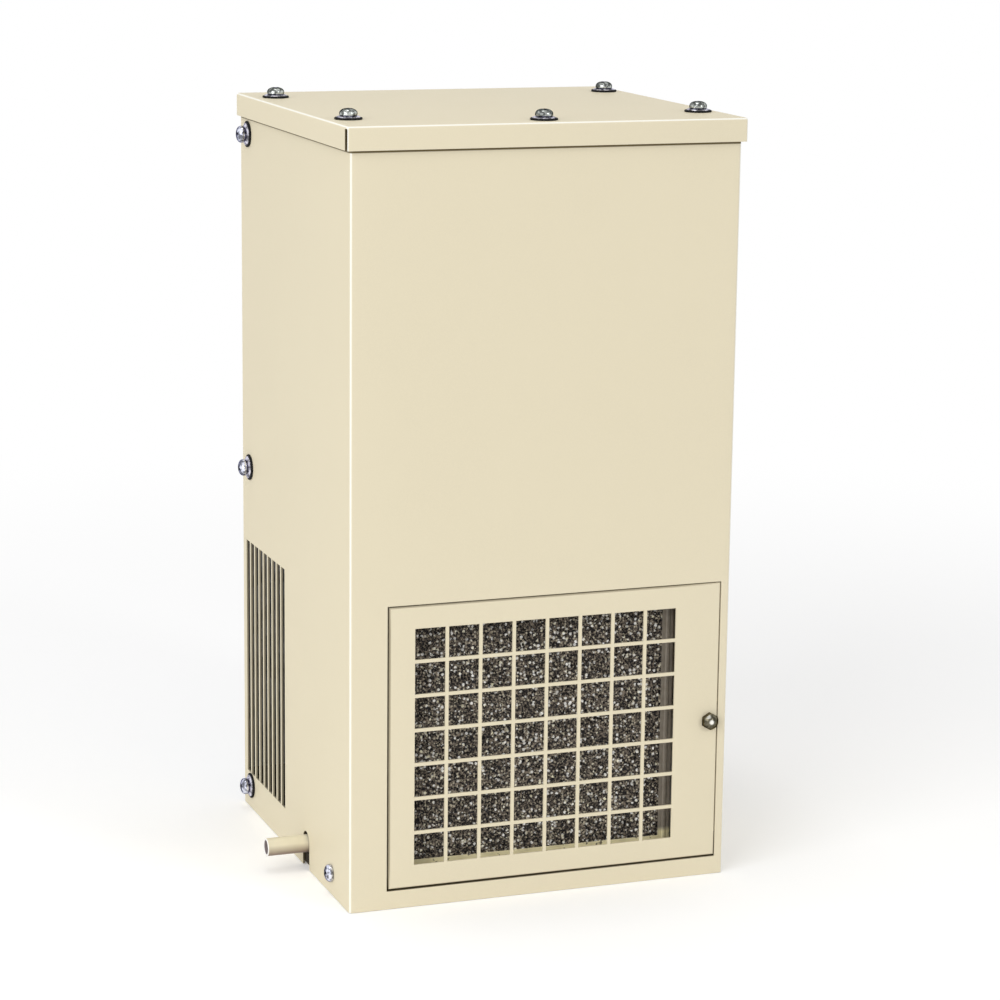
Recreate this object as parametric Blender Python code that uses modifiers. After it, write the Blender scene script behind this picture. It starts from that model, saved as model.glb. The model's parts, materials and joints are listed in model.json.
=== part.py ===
"""Compact refrigeration unit that cools and dries the air of an electrical cabinet.

Metres, +Z up. The origin is the middle of the base's underside. The front, with the filter door,
faces -Y. The back, which is bolted to the cabinet that the unit serves, faces +Y.
"""

import math

import bmesh
import bpy
from mathutils import Matrix, Vector

# Cabinet
CABINET_WIDTH = 0.224
CABINET_DEPTH = 0.214
CABINET_HEIGHT = 0.432
SKIN = 0.001
SKIN_BEND = 0.0025
CLEARANCE = 0.0003
TOP_FLANGE_WIDTH = 0.024

# Top cover
LID_FLANGE = 0.013
LID_GAP = 0.0015
LID_BEND = 0.002
LID_CORNER_SLIT = 0.0012

# Exhaust slots in both sides
SLOT_COUNT = 9
SLOT_PITCH = 0.0093
SLOT_WIDTH = 0.007
SLOT_LENGTH = 0.144
SLOT_BOTTOM = 0.022
SLOT_BACK_MARGIN = 0.0068

# Screws
SCREW_SHANK = 0.0024
SCREW_LENGTH = 0.008
SCREW_HEAD = 0.0055
SCREW_HEAD_HEIGHT = 0.0046
SCREW_HOLE_ROOM = 0.0004
WASHER_RADIUS = 0.008
WASHER_HEIGHT = 0.0024
TOP_SCREW_INSET = 0.0105
TOP_SCREW_SPAN = 0.140
SIDE_SCREW_INSET = 0.015
SIDE_SCREW_LOW = 0.0143
SIDE_SCREW_ABOVE_PARTITION = 0.0218
SIDE_SCREW_TOP_INSET = 0.0227
BASE_SCREW_INSET = 0.0336
BASE_SCREW_HEIGHT = 0.0126

# Filter door
DOOR_LEFT_MARGIN = 0.0225
DOOR_RIGHT_MARGIN = 0.0057
DOOR_BOTTOM = 0.0113
DOOR_HEIGHT = 0.1602
DOOR_GAP = 0.001
DOOR_FLANGE = 0.008
DOOR_BEND = 0.0012
JAMB_DEPTH = 0.010
GRILLE_COLUMNS = 8
GRILLE_ROWS = 7
GRILLE_PITCH = 0.0195
GRILLE_HOLE = 0.0176
GRILLE_SHIFT = -0.006
HINGE_INSET = 0.005
HINGE_DEPTH = 0.004
HINGE_PIN = 0.0015
HINGE_PIN_REACH = 0.005
HINGE_HEAD = 0.0028
HINGE_HEAD_HEIGHT = 0.0012
HINGE_ROOM = 0.00025

# Quarter-turn latch
LATCH_INSET = 0.0051
LATCH_KNOB = 0.005
LATCH_KNOB_HEIGHT = 0.0055
LATCH_STEM = 0.0022
LATCH_ROOM = 0.0004
CAM_LENGTH = 0.0048
CAM_WIDTH = 0.006
CAM_SHEET = 0.0015
STRIKE_SHEET = 0.001
STRIKE_HEIGHT = 0.016
STRIKE_LEG = 0.012
STRIKE_TAB = 0.0055
STRIKE_GAP = 0.0006

# Filter and its holder
FILTER_WIDTH = 0.1644
FILTER_DOOR_MARGIN = 0.0028
FILTER_DEPTH = 0.0155
FILTER_RECESS = 0.0115
FILTER_LIP = 0.008
FILTER_SHEET = 0.0008

# Base pan, partition and back plate
BASE_SHEET = 0.0015
BASE_BEND = 0.002
BASE_FLANGE = 0.022
BASE_FRONT_FLANGE = 0.006
PARTITION_ROOM = 0.0185
PARTITION_SHEET = 0.001
PARTITION_FLANGE = 0.011
BACK_SHEET = 0.0015
BACK_BEND = 0.002
BACK_FLANGE = 0.030
BACK_FLANGE_MARGIN = 0.006
MOUNT_HOLE = 0.0035
MOUNT_HOLE_SPAN = 0.170
MOUNT_HOLE_MARGIN = 0.010
GASKET_THICKNESS = 0.005
GASKET_STRIP = 0.010
GASKET_INSET = 0.012
GASKET_CORNER = 0.006
SUPPLY_WIDTH = 0.150
SUPPLY_HEIGHT = 0.054
RETURN_RADIUS = 0.042
GROMMET_BORE = 0.005
GROMMET_NECK = 0.0075
GROMMET_LIP = 0.010
GROMMET_LIP_HEIGHT = 0.002
GROMMET_FROM_GASKET = 0.0147

# Condensate drain
DRAIN_FROM_BACK = 0.131
DRAIN_HEIGHT = 0.0143
DRAIN_RADIUS = 0.00515
DRAIN_WALL = 0.00115
DRAIN_REACH = 0.024
DRAIN_INSIDE = 0.024
DRAIN_NOTCH_ROOM = 0.0011
HOSE_WALL = 0.0015
HOSE_ROOM = 0.0005
HOSE_OVERLAP = 0.012
HOSE_LEAD = 0.0144
HOSE_MIDDLE = (0.004, 0.015, 0.090)
HOSE_SWEEP = (0.034, 0.022, 0.028)
TRAY_SHEET = 0.001
TRAY_DEPTH = 0.040
TRAY_HEIGHT = 0.006
TRAY_LEFT_ROOM = 0.010
TRAY_RIGHT_ROOM = 0.023
SPOUT_LENGTH = 0.028
SPOUT_FROM_LEFT = 0.018
SPOUT_FROM_FRONT = 0.010

# Fin and tube coils
FIN_PITCH = 0.012
FIN_GROOVE = 0.008
FIN_GROOVE_DEPTH = 0.006
COIL_TUBE = 0.004
COIL_ROOM = 0.0005
CONDENSER_DEPTH = 0.024
CONDENSER_PASSES = 6
CONDENSER_END_ROOM = 0.0285
EVAPORATOR_DEPTH = 0.028
EVAPORATOR_HEIGHT = 0.068
EVAPORATOR_PASSES = 4
EVAPORATOR_PITCH = 0.0145
EVAPORATOR_END_ROOM = 0.030
COIL_TAIL = 0.004

# Condenser fan
SHROUD_SHEET = 0.0015
SHROUD_COLLAR = 0.016
FAN_RADIUS = 0.062
FAN_TIP_ROOM = 0.004
FAN_HUB = 0.018
FAN_HUB_LENGTH = 0.014
FAN_BLADES = 5
FAN_BLADE_SWEEP = 48
FAN_BLADE_SHEET = 0.0016
FAN_BLADE_ROOT_DEPTH = 0.0036
SHAFT_RADIUS = 0.003
SHAFT_ENGAGEMENT = 0.010
FAN_MOTOR_RADIUS = 0.026
FAN_MOTOR_LENGTH = 0.026
MOTOR_BOSS = 0.009
MOTOR_BOSS_LENGTH = 0.003
MOTOR_EDGE = 0.003
MOTOR_GAP = 0.003
BRACKET_SHEET = 0.002
BRACKET_BEND = 0.003
FAN_BRACKET_WIDTH = 0.044
FAN_BRACKET_FOOT = 0.024
FAN_BRACKET_TOP = 0.018

# Compressor
COMPRESSOR_RADIUS = 0.040
COMPRESSOR_HEIGHT = 0.128
COMPRESSOR_DOME = 0.018
COMPRESSOR_X = 0.016
COMPRESSOR_STUB = 0.008
SUCTION_PORT_HEIGHT = 0.045
TERMINAL_CAP = 0.011
TERMINAL_CAP_RISE = 0.005
TERMINAL_CAP_OFFSET = 0.022
FOOT_CIRCLE = 0.039
FOOT_LOBE = 0.008
FOOT_SHEET = 0.002
FOOT_ANGLES = (0, 120, 240)
FOOT_ARC = 75
ISOLATOR_RADIUS = 0.0075
ISOLATOR_WAIST = 0.0055
ISOLATOR_HEIGHT = 0.012
ISOLATOR_LIP = 0.003

# Cabinet air blower
BLOWER_RADIUS = 0.056
BLOWER_WIDTH = 0.034
BLOWER_SHEET = 0.0015
BLOWER_EYE = 0.039
BLOWER_HUB = 0.012
BLOWER_HUB_LENGTH = 0.014
BLOWER_BLADES = 9
BLOWER_BLADE_SWEEP = 42
BLOWER_BACK_ROOM = 0.004
BLOWER_MOTOR_RADIUS = 0.030
BLOWER_MOTOR_LENGTH = 0.034
BLOWER_BRACKET_WIDTH = 0.066
BLOWER_BRACKET_FOOT = 0.032
BLOWER_BRACKET_TOP = 0.022

# Refrigerant lines
LINE_RADIUS = 0.0032
SUCTION_RADIUS = 0.004
LINE_WALL_ROOM = 0.0127
LINE_BEND = 0.0075
LINE_JOINT = 0.0003
LINE_HOLE_ROOM = 0.002
DISCHARGE_DROP = 0.017
DRIER_RADIUS = 0.009
DRIER_LENGTH = 0.070
DRIER_NECK = 0.012
DRIER_BOTTOM = 0.055
DRIER_FROM_FRONT = 0.097
CAPILLARY_RADIUS = 0.0012
CAPILLARY_COIL = 0.012
CAPILLARY_TURNS = 3.5
CAPILLARY_PITCH = 0.005
CAPILLARY_RISE = 0.012
CAPILLARY_CLEAR = 0.014

# Electrical controls
CONTROL_WIDTH = 0.140
CONTROL_DEPTH = 0.054
CONTROL_HEIGHT = 0.096
CONTROL_FRONT_ROOM = 0.006
CONTROL_SHEET = 0.001
COVER_FLANGE = 0.010
TERMINAL_LENGTH = 0.050
TERMINAL_DEPTH = 0.022
TERMINAL_HEIGHT = 0.016
TERMINAL_WAYS = 5
TERMINAL_SLOT = 0.007
TERMINAL_SLOT_DEPTH = 0.006
CAPACITOR_RADIUS = 0.017
CAPACITOR_HEIGHT = 0.062
CAPACITOR_RIM = 0.0012
CAPACITOR_RIM_HEIGHT = 0.0036
THERMOSTAT_LENGTH = 0.036
THERMOSTAT_DEPTH = 0.026
THERMOSTAT_HEIGHT = 0.024
SPINDLE_RADIUS = 0.003
SPINDLE_LENGTH = 0.014
DIAL_RADIUS = 0.013
DIAL_HEIGHT = 0.009
DIAL_GRIP = 0.003
DIAL_SKIRT = 0.003
DIAL_BORE_ROOM = 0.0006
CONTROL_MARGIN = 0.010

# Smoothness of the round shapes
BEND_STEPS = 2
ARC_STEPS = 3
COIL_STEPS = 12
HOSE_STEPS = 2
HOLE_SIDES = 10
ROUND_SIDES = 20
SCREW_SIDES = 10
SMALL_ROUND_SIDES = 16
DOME_STEPS = 4
SCREW_DOME_STEPS = 3
TUBE_RESOLUTION = 2
HOSE_RESOLUTION = 3
CAPILLARY_RESOLUTION = 1
FAN_BLADE_STATIONS = (3, 2)
BLOWER_BLADE_STATIONS = (1, 4)
SMOOTH_ANGLE = 35
AXIS_SIZE = 0.02
WELD = 0.00001
OVERSHOOT = 0.001

# Places that several pieces share
HALF_WIDTH = CABINET_WIDTH / 2
FRONT = -CABINET_DEPTH / 2
BACK = CABINET_DEPTH / 2
WRAPPER_TOP = CABINET_HEIGHT - SKIN - CLEARANCE
INSIDE_X = HALF_WIDTH - SKIN - CLEARANCE
INSIDE_FRONT = FRONT + SKIN + CLEARANCE
INSIDE_BACK = BACK - BACK_SHEET - CLEARANCE
FLOOR = BASE_SHEET + CLEARANCE
LID_OVERHANG = LID_GAP + SKIN
SLOT_TOP = SLOT_BOTTOM + SLOT_LENGTH

DOOR_LEFT = DOOR_LEFT_MARGIN - HALF_WIDTH
DOOR_RIGHT = HALF_WIDTH - DOOR_RIGHT_MARGIN
DOOR_TOP = DOOR_BOTTOM + DOOR_HEIGHT
DOOR_MID_X = (DOOR_LEFT + DOOR_RIGHT) / 2
DOOR_MID_Z = (DOOR_BOTTOM + DOOR_TOP) / 2
GRILLE_X = DOOR_MID_X + GRILLE_SHIFT
HINGE_X = DOOR_LEFT + HINGE_INSET
HINGE_Y = FRONT + HINGE_DEPTH
LATCH_X = DOOR_RIGHT - LATCH_INSET
STRIKE_FRONT = FRONT + DOOR_FLANGE + STRIKE_GAP
CAM_FRONT = STRIKE_FRONT + STRIKE_SHEET + STRIKE_GAP

PARTITION_TOP = DOOR_TOP + PARTITION_ROOM
PARTITION_UNDER = PARTITION_TOP - PARTITION_SHEET - CLEARANCE
PARTITION_X = INSIDE_X - BACK_SHEET - CLEARANCE
UPPER_FLOOR = PARTITION_TOP + CLEARANCE
BAFFLE_X = PARTITION_X - PARTITION_SHEET - CLEARANCE

FILTER_HEIGHT = DOOR_HEIGHT - 2 * FILTER_DOOR_MARGIN
FILTER_FRONT = FRONT + FILTER_RECESS
FILTER_BACK = FILTER_FRONT + FILTER_DEPTH
BAFFLE_FRONT = FILTER_BACK + CLEARANCE
BAFFLE_BACK = BAFFLE_FRONT + SKIN

CONDENSER_FRONT = BAFFLE_BACK + CLEARANCE
CONDENSER_Y = CONDENSER_FRONT + CONDENSER_DEPTH / 2
CONDENSER_X = INSIDE_X - CONDENSER_END_ROOM
CONDENSER_PITCH = FILTER_HEIGHT / CONDENSER_PASSES
CONDENSER_TOP_PASS = DOOR_MID_Z + CONDENSER_PITCH * (CONDENSER_PASSES - 1) / 2
CONDENSER_LOW_PASS = DOOR_MID_Z - CONDENSER_PITCH * (CONDENSER_PASSES - 1) / 2
SHROUD_FRONT = CONDENSER_FRONT + CONDENSER_DEPTH + CLEARANCE
SHROUD_BACK = SHROUD_FRONT + SHROUD_SHEET
COLLAR_BACK = SHROUD_BACK + SHROUD_COLLAR
FAN_HUB_BACK = COLLAR_BACK
FAN_HUB_FRONT = FAN_HUB_BACK - FAN_HUB_LENGTH
FAN_MOTOR_FRONT = FAN_HUB_BACK + MOTOR_GAP
FAN_MOTOR_BACK = FAN_MOTOR_FRONT + FAN_MOTOR_LENGTH
FAN_BRACKET_BACK = FAN_MOTOR_BACK + CLEARANCE + BRACKET_SHEET

COMPRESSOR_Y = (FAN_BRACKET_BACK + INSIDE_BACK) / 2
FOOT_UNDER = FLOOR + ISOLATOR_HEIGHT + CLEARANCE
SHELL_BOTTOM = FOOT_UNDER + FOOT_SHEET / 2
SHELL_TOP = SHELL_BOTTOM + COMPRESSOR_HEIGHT
DISCHARGE_PORT = SHELL_TOP + COMPRESSOR_STUB
SUCTION_PORT_X = COMPRESSOR_X + COMPRESSOR_RADIUS + COMPRESSOR_STUB
LINE_X = INSIDE_X - LINE_WALL_ROOM

TRAY_BACK = INSIDE_BACK
TRAY_FRONT = TRAY_BACK - TRAY_DEPTH
TRAY_LEFT = TRAY_LEFT_ROOM - INSIDE_X
TRAY_RIGHT = INSIDE_X - TRAY_RIGHT_ROOM
SPOUT_X = TRAY_LEFT + SPOUT_FROM_LEFT
SPOUT_Y = TRAY_FRONT + SPOUT_FROM_FRONT
SPOUT_BOTTOM = UPPER_FLOOR - SPOUT_LENGTH

EVAPORATOR_Y = TRAY_BACK - TRAY_SHEET - CLEARANCE - EVAPORATOR_DEPTH / 2
EVAPORATOR_X = INSIDE_X - EVAPORATOR_END_ROOM
EVAPORATOR_BOTTOM = UPPER_FLOOR + TRAY_SHEET + CLEARANCE
EVAPORATOR_Z = EVAPORATOR_BOTTOM + EVAPORATOR_HEIGHT / 2
EVAPORATOR_TOP = EVAPORATOR_BOTTOM + EVAPORATOR_HEIGHT
EVAPORATOR_HALF_SPAN = EVAPORATOR_PITCH * (EVAPORATOR_PASSES - 1) / 2

BLOWER_Z = (EVAPORATOR_TOP + WRAPPER_TOP) / 2
BLOWER_BACK = INSIDE_BACK - BLOWER_BACK_ROOM
BLOWER_FRONT = BLOWER_BACK - BLOWER_WIDTH
BLOWER_MOTOR_FACE = BLOWER_FRONT - MOTOR_GAP
BLOWER_MOTOR_BACK = BLOWER_MOTOR_FACE - BLOWER_MOTOR_LENGTH
BLOWER_BRACKET_FACE = BLOWER_MOTOR_BACK - CLEARANCE

DRAIN_Y = BACK - DRAIN_FROM_BACK
DRAIN_INNER_END = DRAIN_INSIDE - HALF_WIDTH
HOSE_BORE = DRAIN_RADIUS + HOSE_ROOM
DRIER_Y = FRONT + DRIER_FROM_FRONT

CONTROL_FRONT = INSIDE_FRONT + CONTROL_FRONT_ROOM
CONTROL_BACK = CONTROL_FRONT + CONTROL_DEPTH
CONTROL_Y = (CONTROL_FRONT + CONTROL_BACK) / 2
CONTROL_FLOOR = UPPER_FLOOR + CONTROL_SHEET + CLEARANCE
CONTROL_TOP = UPPER_FLOOR + CONTROL_HEIGHT
COVER_TOP = CONTROL_TOP + CLEARANCE + CONTROL_SHEET
THERMOSTAT_X = CONTROL_MARGIN + THERMOSTAT_LENGTH / 2
THERMOSTAT_TOP = CONTROL_TOP

# Colour, roughness and metallic value of each finish
FINISHES = {
    "cream_paint": ((0.80, 0.72, 0.54), 0.45, 0.0),
    "zinc_steel": ((0.62, 0.61, 0.58), 0.28, 1.0),
    "galvanised_steel": ((0.55, 0.56, 0.56), 0.42, 1.0),
    "black_paint": ((0.02, 0.02, 0.02), 0.40, 0.0),
    "copper": ((0.80, 0.42, 0.26), 0.30, 1.0),
    "aluminium": ((0.78, 0.78, 0.78), 0.35, 1.0),
    "black_rubber": ((0.02, 0.02, 0.02), 0.80, 0.0),
    "black_foam": ((0.06, 0.05, 0.05), 0.95, 0.0),
    "black_plastic": ((0.03, 0.03, 0.03), 0.45, 0.0),
    "ivory_plastic": ((0.72, 0.65, 0.47), 0.50, 0.0),
    "grey_plastic": ((0.45, 0.45, 0.44), 0.50, 0.0),
}
FACE_NORMALS = {
    "-x": (-1, 0, 0),
    "+x": (1, 0, 0),
    "-y": (0, -1, 0),
    "+y": (0, 1, 0),
    "-z": (0, 0, -1),
    "+z": (0, 0, 1),
}
UP = (0, 0, 1)
FORWARD = (0, -1, 0)
REARWARD = (0, 1, 0)


# Scene helpers


def clear_scene():
    for obj in list(bpy.data.objects):
        bpy.data.objects.remove(obj, do_unlink=True)


def new_collection(name):
    collection = bpy.data.collections.new(name)
    bpy.context.scene.collection.children.link(collection)
    return collection


def finish_material(name):
    material = bpy.data.materials.get(name)
    if material:
        return material
    colour, roughness, metallic = FINISHES[name]
    material = bpy.data.materials.new(name)
    material.use_nodes = True
    shader = material.node_tree.nodes["Principled BSDF"]
    shader.inputs["Base Color"].default_value = (*colour, 1)
    shader.inputs["Roughness"].default_value = roughness
    shader.inputs["Metallic"].default_value = metallic
    return material


def new_object(name, data, finish):
    """A part with its finish, or a hidden cutter where no finish is given."""
    obj = bpy.data.objects.new(name, data)
    if finish:
        data.materials.append(finish_material(finish))
        bpy.data.collections["cabinet_cooler"].objects.link(obj)
    else:
        bpy.data.collections["cutters"].objects.link(obj)
        obj.hide_render = True
        obj.display_type = "WIRE"
    return obj


def mesh_object(name, bm, finish=None):
    mesh = bpy.data.meshes.new(name)
    bm.to_mesh(mesh)
    bm.free()
    mesh.shade_smooth()
    mesh.set_sharp_from_angle(angle=math.radians(SMOOTH_ANGLE))
    return new_object(name, mesh, finish)


def joint_axis(name, place):
    """An empty on a joint's axis, which carries the pieces that turn there."""
    axis = bpy.data.objects.new(name, None)
    axis.location = place
    axis.empty_display_size = AXIS_SIZE
    bpy.data.collections["cabinet_cooler"].objects.link(axis)
    return axis


def carry(axis, *pieces):
    for piece in pieces:
        piece.parent = axis
        piece.matrix_parent_inverse = Matrix.Translation(-axis.location)


def aim(obj, place, direction):
    """Puts the object's own Z axis along a direction."""
    obj.location = place
    obj.rotation_mode = "QUATERNION"
    obj.rotation_quaternion = Vector(UP).rotation_difference(Vector(direction))
    return obj


# Shape helpers


def add_box(bm, low, high):
    low = Vector(low)
    high = Vector(high)
    size = Matrix.Diagonal((*(high - low), 1))
    bmesh.ops.create_cube(bm, size=1, matrix=Matrix.Translation((low + high) / 2) @ size)


def add_rod(bm, start, end, radius, sides=HOLE_SIDES):
    start = Vector(start)
    end = Vector(end)
    turn = Vector(UP).rotation_difference(end - start).to_matrix().to_4x4()
    bmesh.ops.create_cone(
        bm,
        cap_ends=True,
        segments=sides,
        radius1=radius,
        radius2=radius,
        depth=(end - start).length,
        matrix=Matrix.Translation((start + end) / 2) @ turn,
    )


def block(name, low, high, finish=None):
    bm = bmesh.new()
    add_box(bm, low, high)
    return mesh_object(name, bm, finish)


def rod(name, start, end, radius, finish=None, sides=HOLE_SIDES):
    bm = bmesh.new()
    add_rod(bm, start, end, radius, sides)
    return mesh_object(name, bm, finish)


def folded_sheet(name, low, high, sides, thickness, bend, finish=None):
    """The named faces of a box, bent where they meet and thickened inwards."""
    bm = bmesh.new()
    add_box(bm, low, high)
    bm.normal_update()
    kept = [Vector(FACE_NORMALS[side]) for side in sides]
    left_open = [face for face in bm.faces if max(face.normal.dot(way) for way in kept) < 0.5]
    bmesh.ops.delete(bm, geom=left_open, context="FACES")
    if bend:
        folds = [edge for edge in bm.edges if len(edge.link_faces) == 2]
        bmesh.ops.bevel(bm, geom=folds, offset=bend, segments=BEND_STEPS, profile=0.5, affect="EDGES")
    sheet = mesh_object(name, bm, finish)
    solidify = sheet.modifiers.new("sheet", "SOLIDIFY")
    solidify.thickness = thickness
    solidify.offset = -1
    solidify.use_even_offset = True
    return sheet


def turned(name, profile, finish=None, sides=ROUND_SIDES, closed=False):
    """A profile of (radius, height) points, listed down its outer side, turned about Z."""
    bm = bmesh.new()
    points = [bm.verts.new((radius, 0, height)) for radius, height in profile]
    for first, second in zip(points, points[1:]):
        bm.edges.new((first, second))
    if closed:
        bm.edges.new((points[-1], points[0]))
    obj = mesh_object(name, bm, finish)
    screw = obj.modifiers.new("turn", "SCREW")
    screw.steps = sides
    screw.render_steps = sides
    screw.use_merge_vertices = True
    screw.merge_threshold = WELD
    screw.use_smooth_shade = True
    return obj


def turned_ring(name, outer, inner, bottom, top, finish=None, sides=ROUND_SIDES):
    profile = [(outer, top), (outer, bottom), (inner, bottom), (inner, top)]
    return turned(name, profile, finish, sides, closed=True)


def as_mesh(curve_object, finish):
    """The curve object's shape as a mesh, with its caps welded on."""
    bpy.context.view_layer.update()
    graph = bpy.context.evaluated_depsgraph_get()
    mesh = bpy.data.meshes.new_from_object(curve_object.evaluated_get(graph))
    bm = bmesh.new()
    bm.from_mesh(mesh)
    bmesh.ops.remove_doubles(bm, verts=bm.verts, dist=WELD)
    name = curve_object.name
    place = curve_object.matrix_world.copy()
    bpy.data.objects.remove(curve_object, do_unlink=True)
    bpy.data.meshes.remove(mesh)
    obj = mesh_object(name, bm, finish)
    obj.matrix_world = place
    return obj


def tube(name, points, radius, finish=None, resolution=TUBE_RESOLUTION):
    curve = bpy.data.curves.new(name, "CURVE")
    curve.dimensions = "3D"
    curve.bevel_depth = radius
    curve.bevel_resolution = resolution
    curve.use_fill_caps = True
    spline = curve.splines.new("POLY")
    spline.points.add(len(points) - 1)
    for target, point in zip(spline.points, points):
        target.co = (*point, 1)
    return new_object(name, curve, finish)


def plate(name, outlines, thickness, finish=None):
    """A flat plate in XY, half its thickness on each side, from an outline and any holes."""
    curve = bpy.data.curves.new(name, "CURVE")
    curve.dimensions = "2D"
    curve.fill_mode = "BOTH"
    curve.extrude = thickness / 2
    for outline in outlines:
        spline = curve.splines.new("POLY")
        spline.points.add(len(outline) - 1)
        for target, (x, y) in zip(spline.points, outline):
            target.co = (x, y, 0, 1)
        spline.use_cyclic_u = True
    return new_object(name, curve, finish)


def arc(centre, radius, start, end, steps):
    """Points on an arc between two angles in degrees."""
    angles = [math.radians(start + (end - start) * step / steps) for step in range(steps + 1)]
    return [(centre[0] + radius * math.cos(a), centre[1] + radius * math.sin(a)) for a in angles]


def rounded_rectangle(half_x, half_y, radius):
    corners = ((1, 1, 0), (-1, 1, 90), (-1, -1, 180), (1, -1, 270))
    outline = []
    for side_x, side_y, start in corners:
        centre = (side_x * (half_x - radius), side_y * (half_y - radius))
        outline += arc(centre, radius, start, start + 90, ARC_STEPS)
    return outline


def bent_path(corners, bend):
    """Straight runs through the corners, with an arc at each one."""
    corners = [Vector(corner) for corner in corners]
    points = [corners[0]]
    for before, corner, after in zip(corners, corners[1:], corners[2:]):
        back = before - corner
        ahead = after - corner
        half = back.angle(ahead) / 2
        reach = min(bend / math.tan(half), back.length / 2, ahead.length / 2)
        radius = reach * math.tan(half)
        back.normalize()
        ahead.normalize()
        centre = corner + (back + ahead).normalized() * radius / math.sin(half)
        first = (corner + back * reach - centre).normalized()
        last = (corner + ahead * reach - centre).normalized()
        for step in range(ARC_STEPS + 1):
            point = centre + first.slerp(last, step / ARC_STEPS) * radius
            if (point - points[-1]).length > WELD:
                points.append(point)
    points.append(corners[-1])
    return points


def smooth_path(route, steps):
    """A Catmull-Rom curve through the route's own points."""
    route = [Vector(point) for point in route]
    padded = [2 * route[0] - route[1], *route, 2 * route[-1] - route[-2]]
    points = [route[0]]
    for p0, p1, p2, p3 in zip(padded, padded[1:], padded[2:], padded[3:]):
        for step in range(1, steps + 1):
            t = step / steps
            even = 2 * p1 + (2 * p0 - 5 * p1 + 4 * p2 - p3) * t**2
            odd = (p2 - p0) * t + (3 * p1 - p0 - 3 * p2 + p3) * t**3
            points.append((even + odd) / 2)
    return points


def boolean(obj, operation, tools):
    for tool in tools:
        modifier = obj.modifiers.new(tool.name, "BOOLEAN")
        modifier.operation = operation
        modifier.object = tool
    return obj


def subtract(obj, *tools):
    return boolean(obj, "DIFFERENCE", tools)


def unite(obj, *tools):
    return boolean(obj, "UNION", tools)


# Places of the screws


def top_screw_places():
    side = HALF_WIDTH - TOP_SCREW_INSET
    corners = [(x, y) for x in (-side, side) for y in (-TOP_SCREW_SPAN / 2, TOP_SCREW_SPAN / 2)]
    return [*corners, (0, FRONT + TOP_SCREW_INSET)]


def side_screw_places():
    y = BACK - SIDE_SCREW_INSET
    middle = PARTITION_TOP + SIDE_SCREW_ABOVE_PARTITION
    high = CABINET_HEIGHT - SIDE_SCREW_TOP_INSET
    return [(y, SIDE_SCREW_LOW), (y, middle), (y, high)]


def base_screw_place():
    return FRONT + BASE_SCREW_INSET, BASE_SCREW_HEIGHT


def add_top_screw_holes(bm):
    for x, y in top_screw_places():
        low = (x, y, WRAPPER_TOP - SKIN - OVERSHOOT)
        high = (x, y, CABINET_HEIGHT + OVERSHOOT)
        add_rod(bm, low, high, SCREW_SHANK + SCREW_HOLE_ROOM)


def add_side_screw_holes(bm):
    for y, z in (*side_screw_places(), base_screw_place()):
        reach = HALF_WIDTH + OVERSHOOT
        add_rod(bm, (-reach, y, z), (reach, y, z), SCREW_SHANK + SCREW_HOLE_ROOM)


def side_screw_holes(name):
    bm = bmesh.new()
    add_side_screw_holes(bm)
    return mesh_object(name, bm)


# Cabinet shells


def top_flange():
    """The wrapper's inward top flange, a U in plan that is open at the back."""
    edge = SKIN / 2
    bm = bmesh.new()
    add_box(
        bm,
        (edge - HALF_WIDTH, FRONT + edge, WRAPPER_TOP - SKIN),
        (HALF_WIDTH - edge, INSIDE_BACK, WRAPPER_TOP),
    )
    uprights = [e for e in bm.edges if abs(e.verts[0].co.z - e.verts[1].co.z) > SKIN / 2]
    front = [e for e in uprights if e.verts[0].co.y < 0]
    bmesh.ops.bevel(
        bm, geom=front, offset=SKIN_BEND - edge, segments=BEND_STEPS, profile=0.5, affect="EDGES"
    )
    flange = mesh_object("top_flange", bm)
    inner = HALF_WIDTH - TOP_FLANGE_WIDTH
    well = block(
        "top_flange_well",
        (-inner, FRONT + TOP_FLANGE_WIDTH, WRAPPER_TOP - SKIN - OVERSHOOT),
        (inner, BACK, WRAPPER_TOP + OVERSHOOT),
    )
    return subtract(flange, well)


def jamb(name, low, high):
    """A return above or below the door opening, which carries a hinge pin."""
    return block(
        name,
        (DOOR_LEFT - DOOR_GAP, FRONT + SKIN / 2, low),
        (DOOR_RIGHT + DOOR_GAP, FRONT + JAMB_DEPTH, high),
    )


def hinge_holes(name, radius):
    low = (HINGE_X, HINGE_Y, DOOR_BOTTOM - DOOR_GAP - SKIN - OVERSHOOT)
    high = (HINGE_X, HINGE_Y, DOOR_TOP + DOOR_GAP + SKIN + OVERSHOOT)
    return rod(name, low, high, radius, sides=HOLE_SIDES)


def slots_and_screw_holes():
    bm = bmesh.new()
    add_top_screw_holes(bm)
    add_side_screw_holes(bm)
    for index in range(SLOT_COUNT):
        back = BACK - SLOT_BACK_MARGIN - index * SLOT_PITCH
        add_box(
            bm,
            (-HALF_WIDTH - OVERSHOOT, back - SLOT_WIDTH, SLOT_BOTTOM),
            (HALF_WIDTH + OVERSHOOT, back, SLOT_TOP),
        )
    return mesh_object("slots_and_screw_holes", bm)


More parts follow.
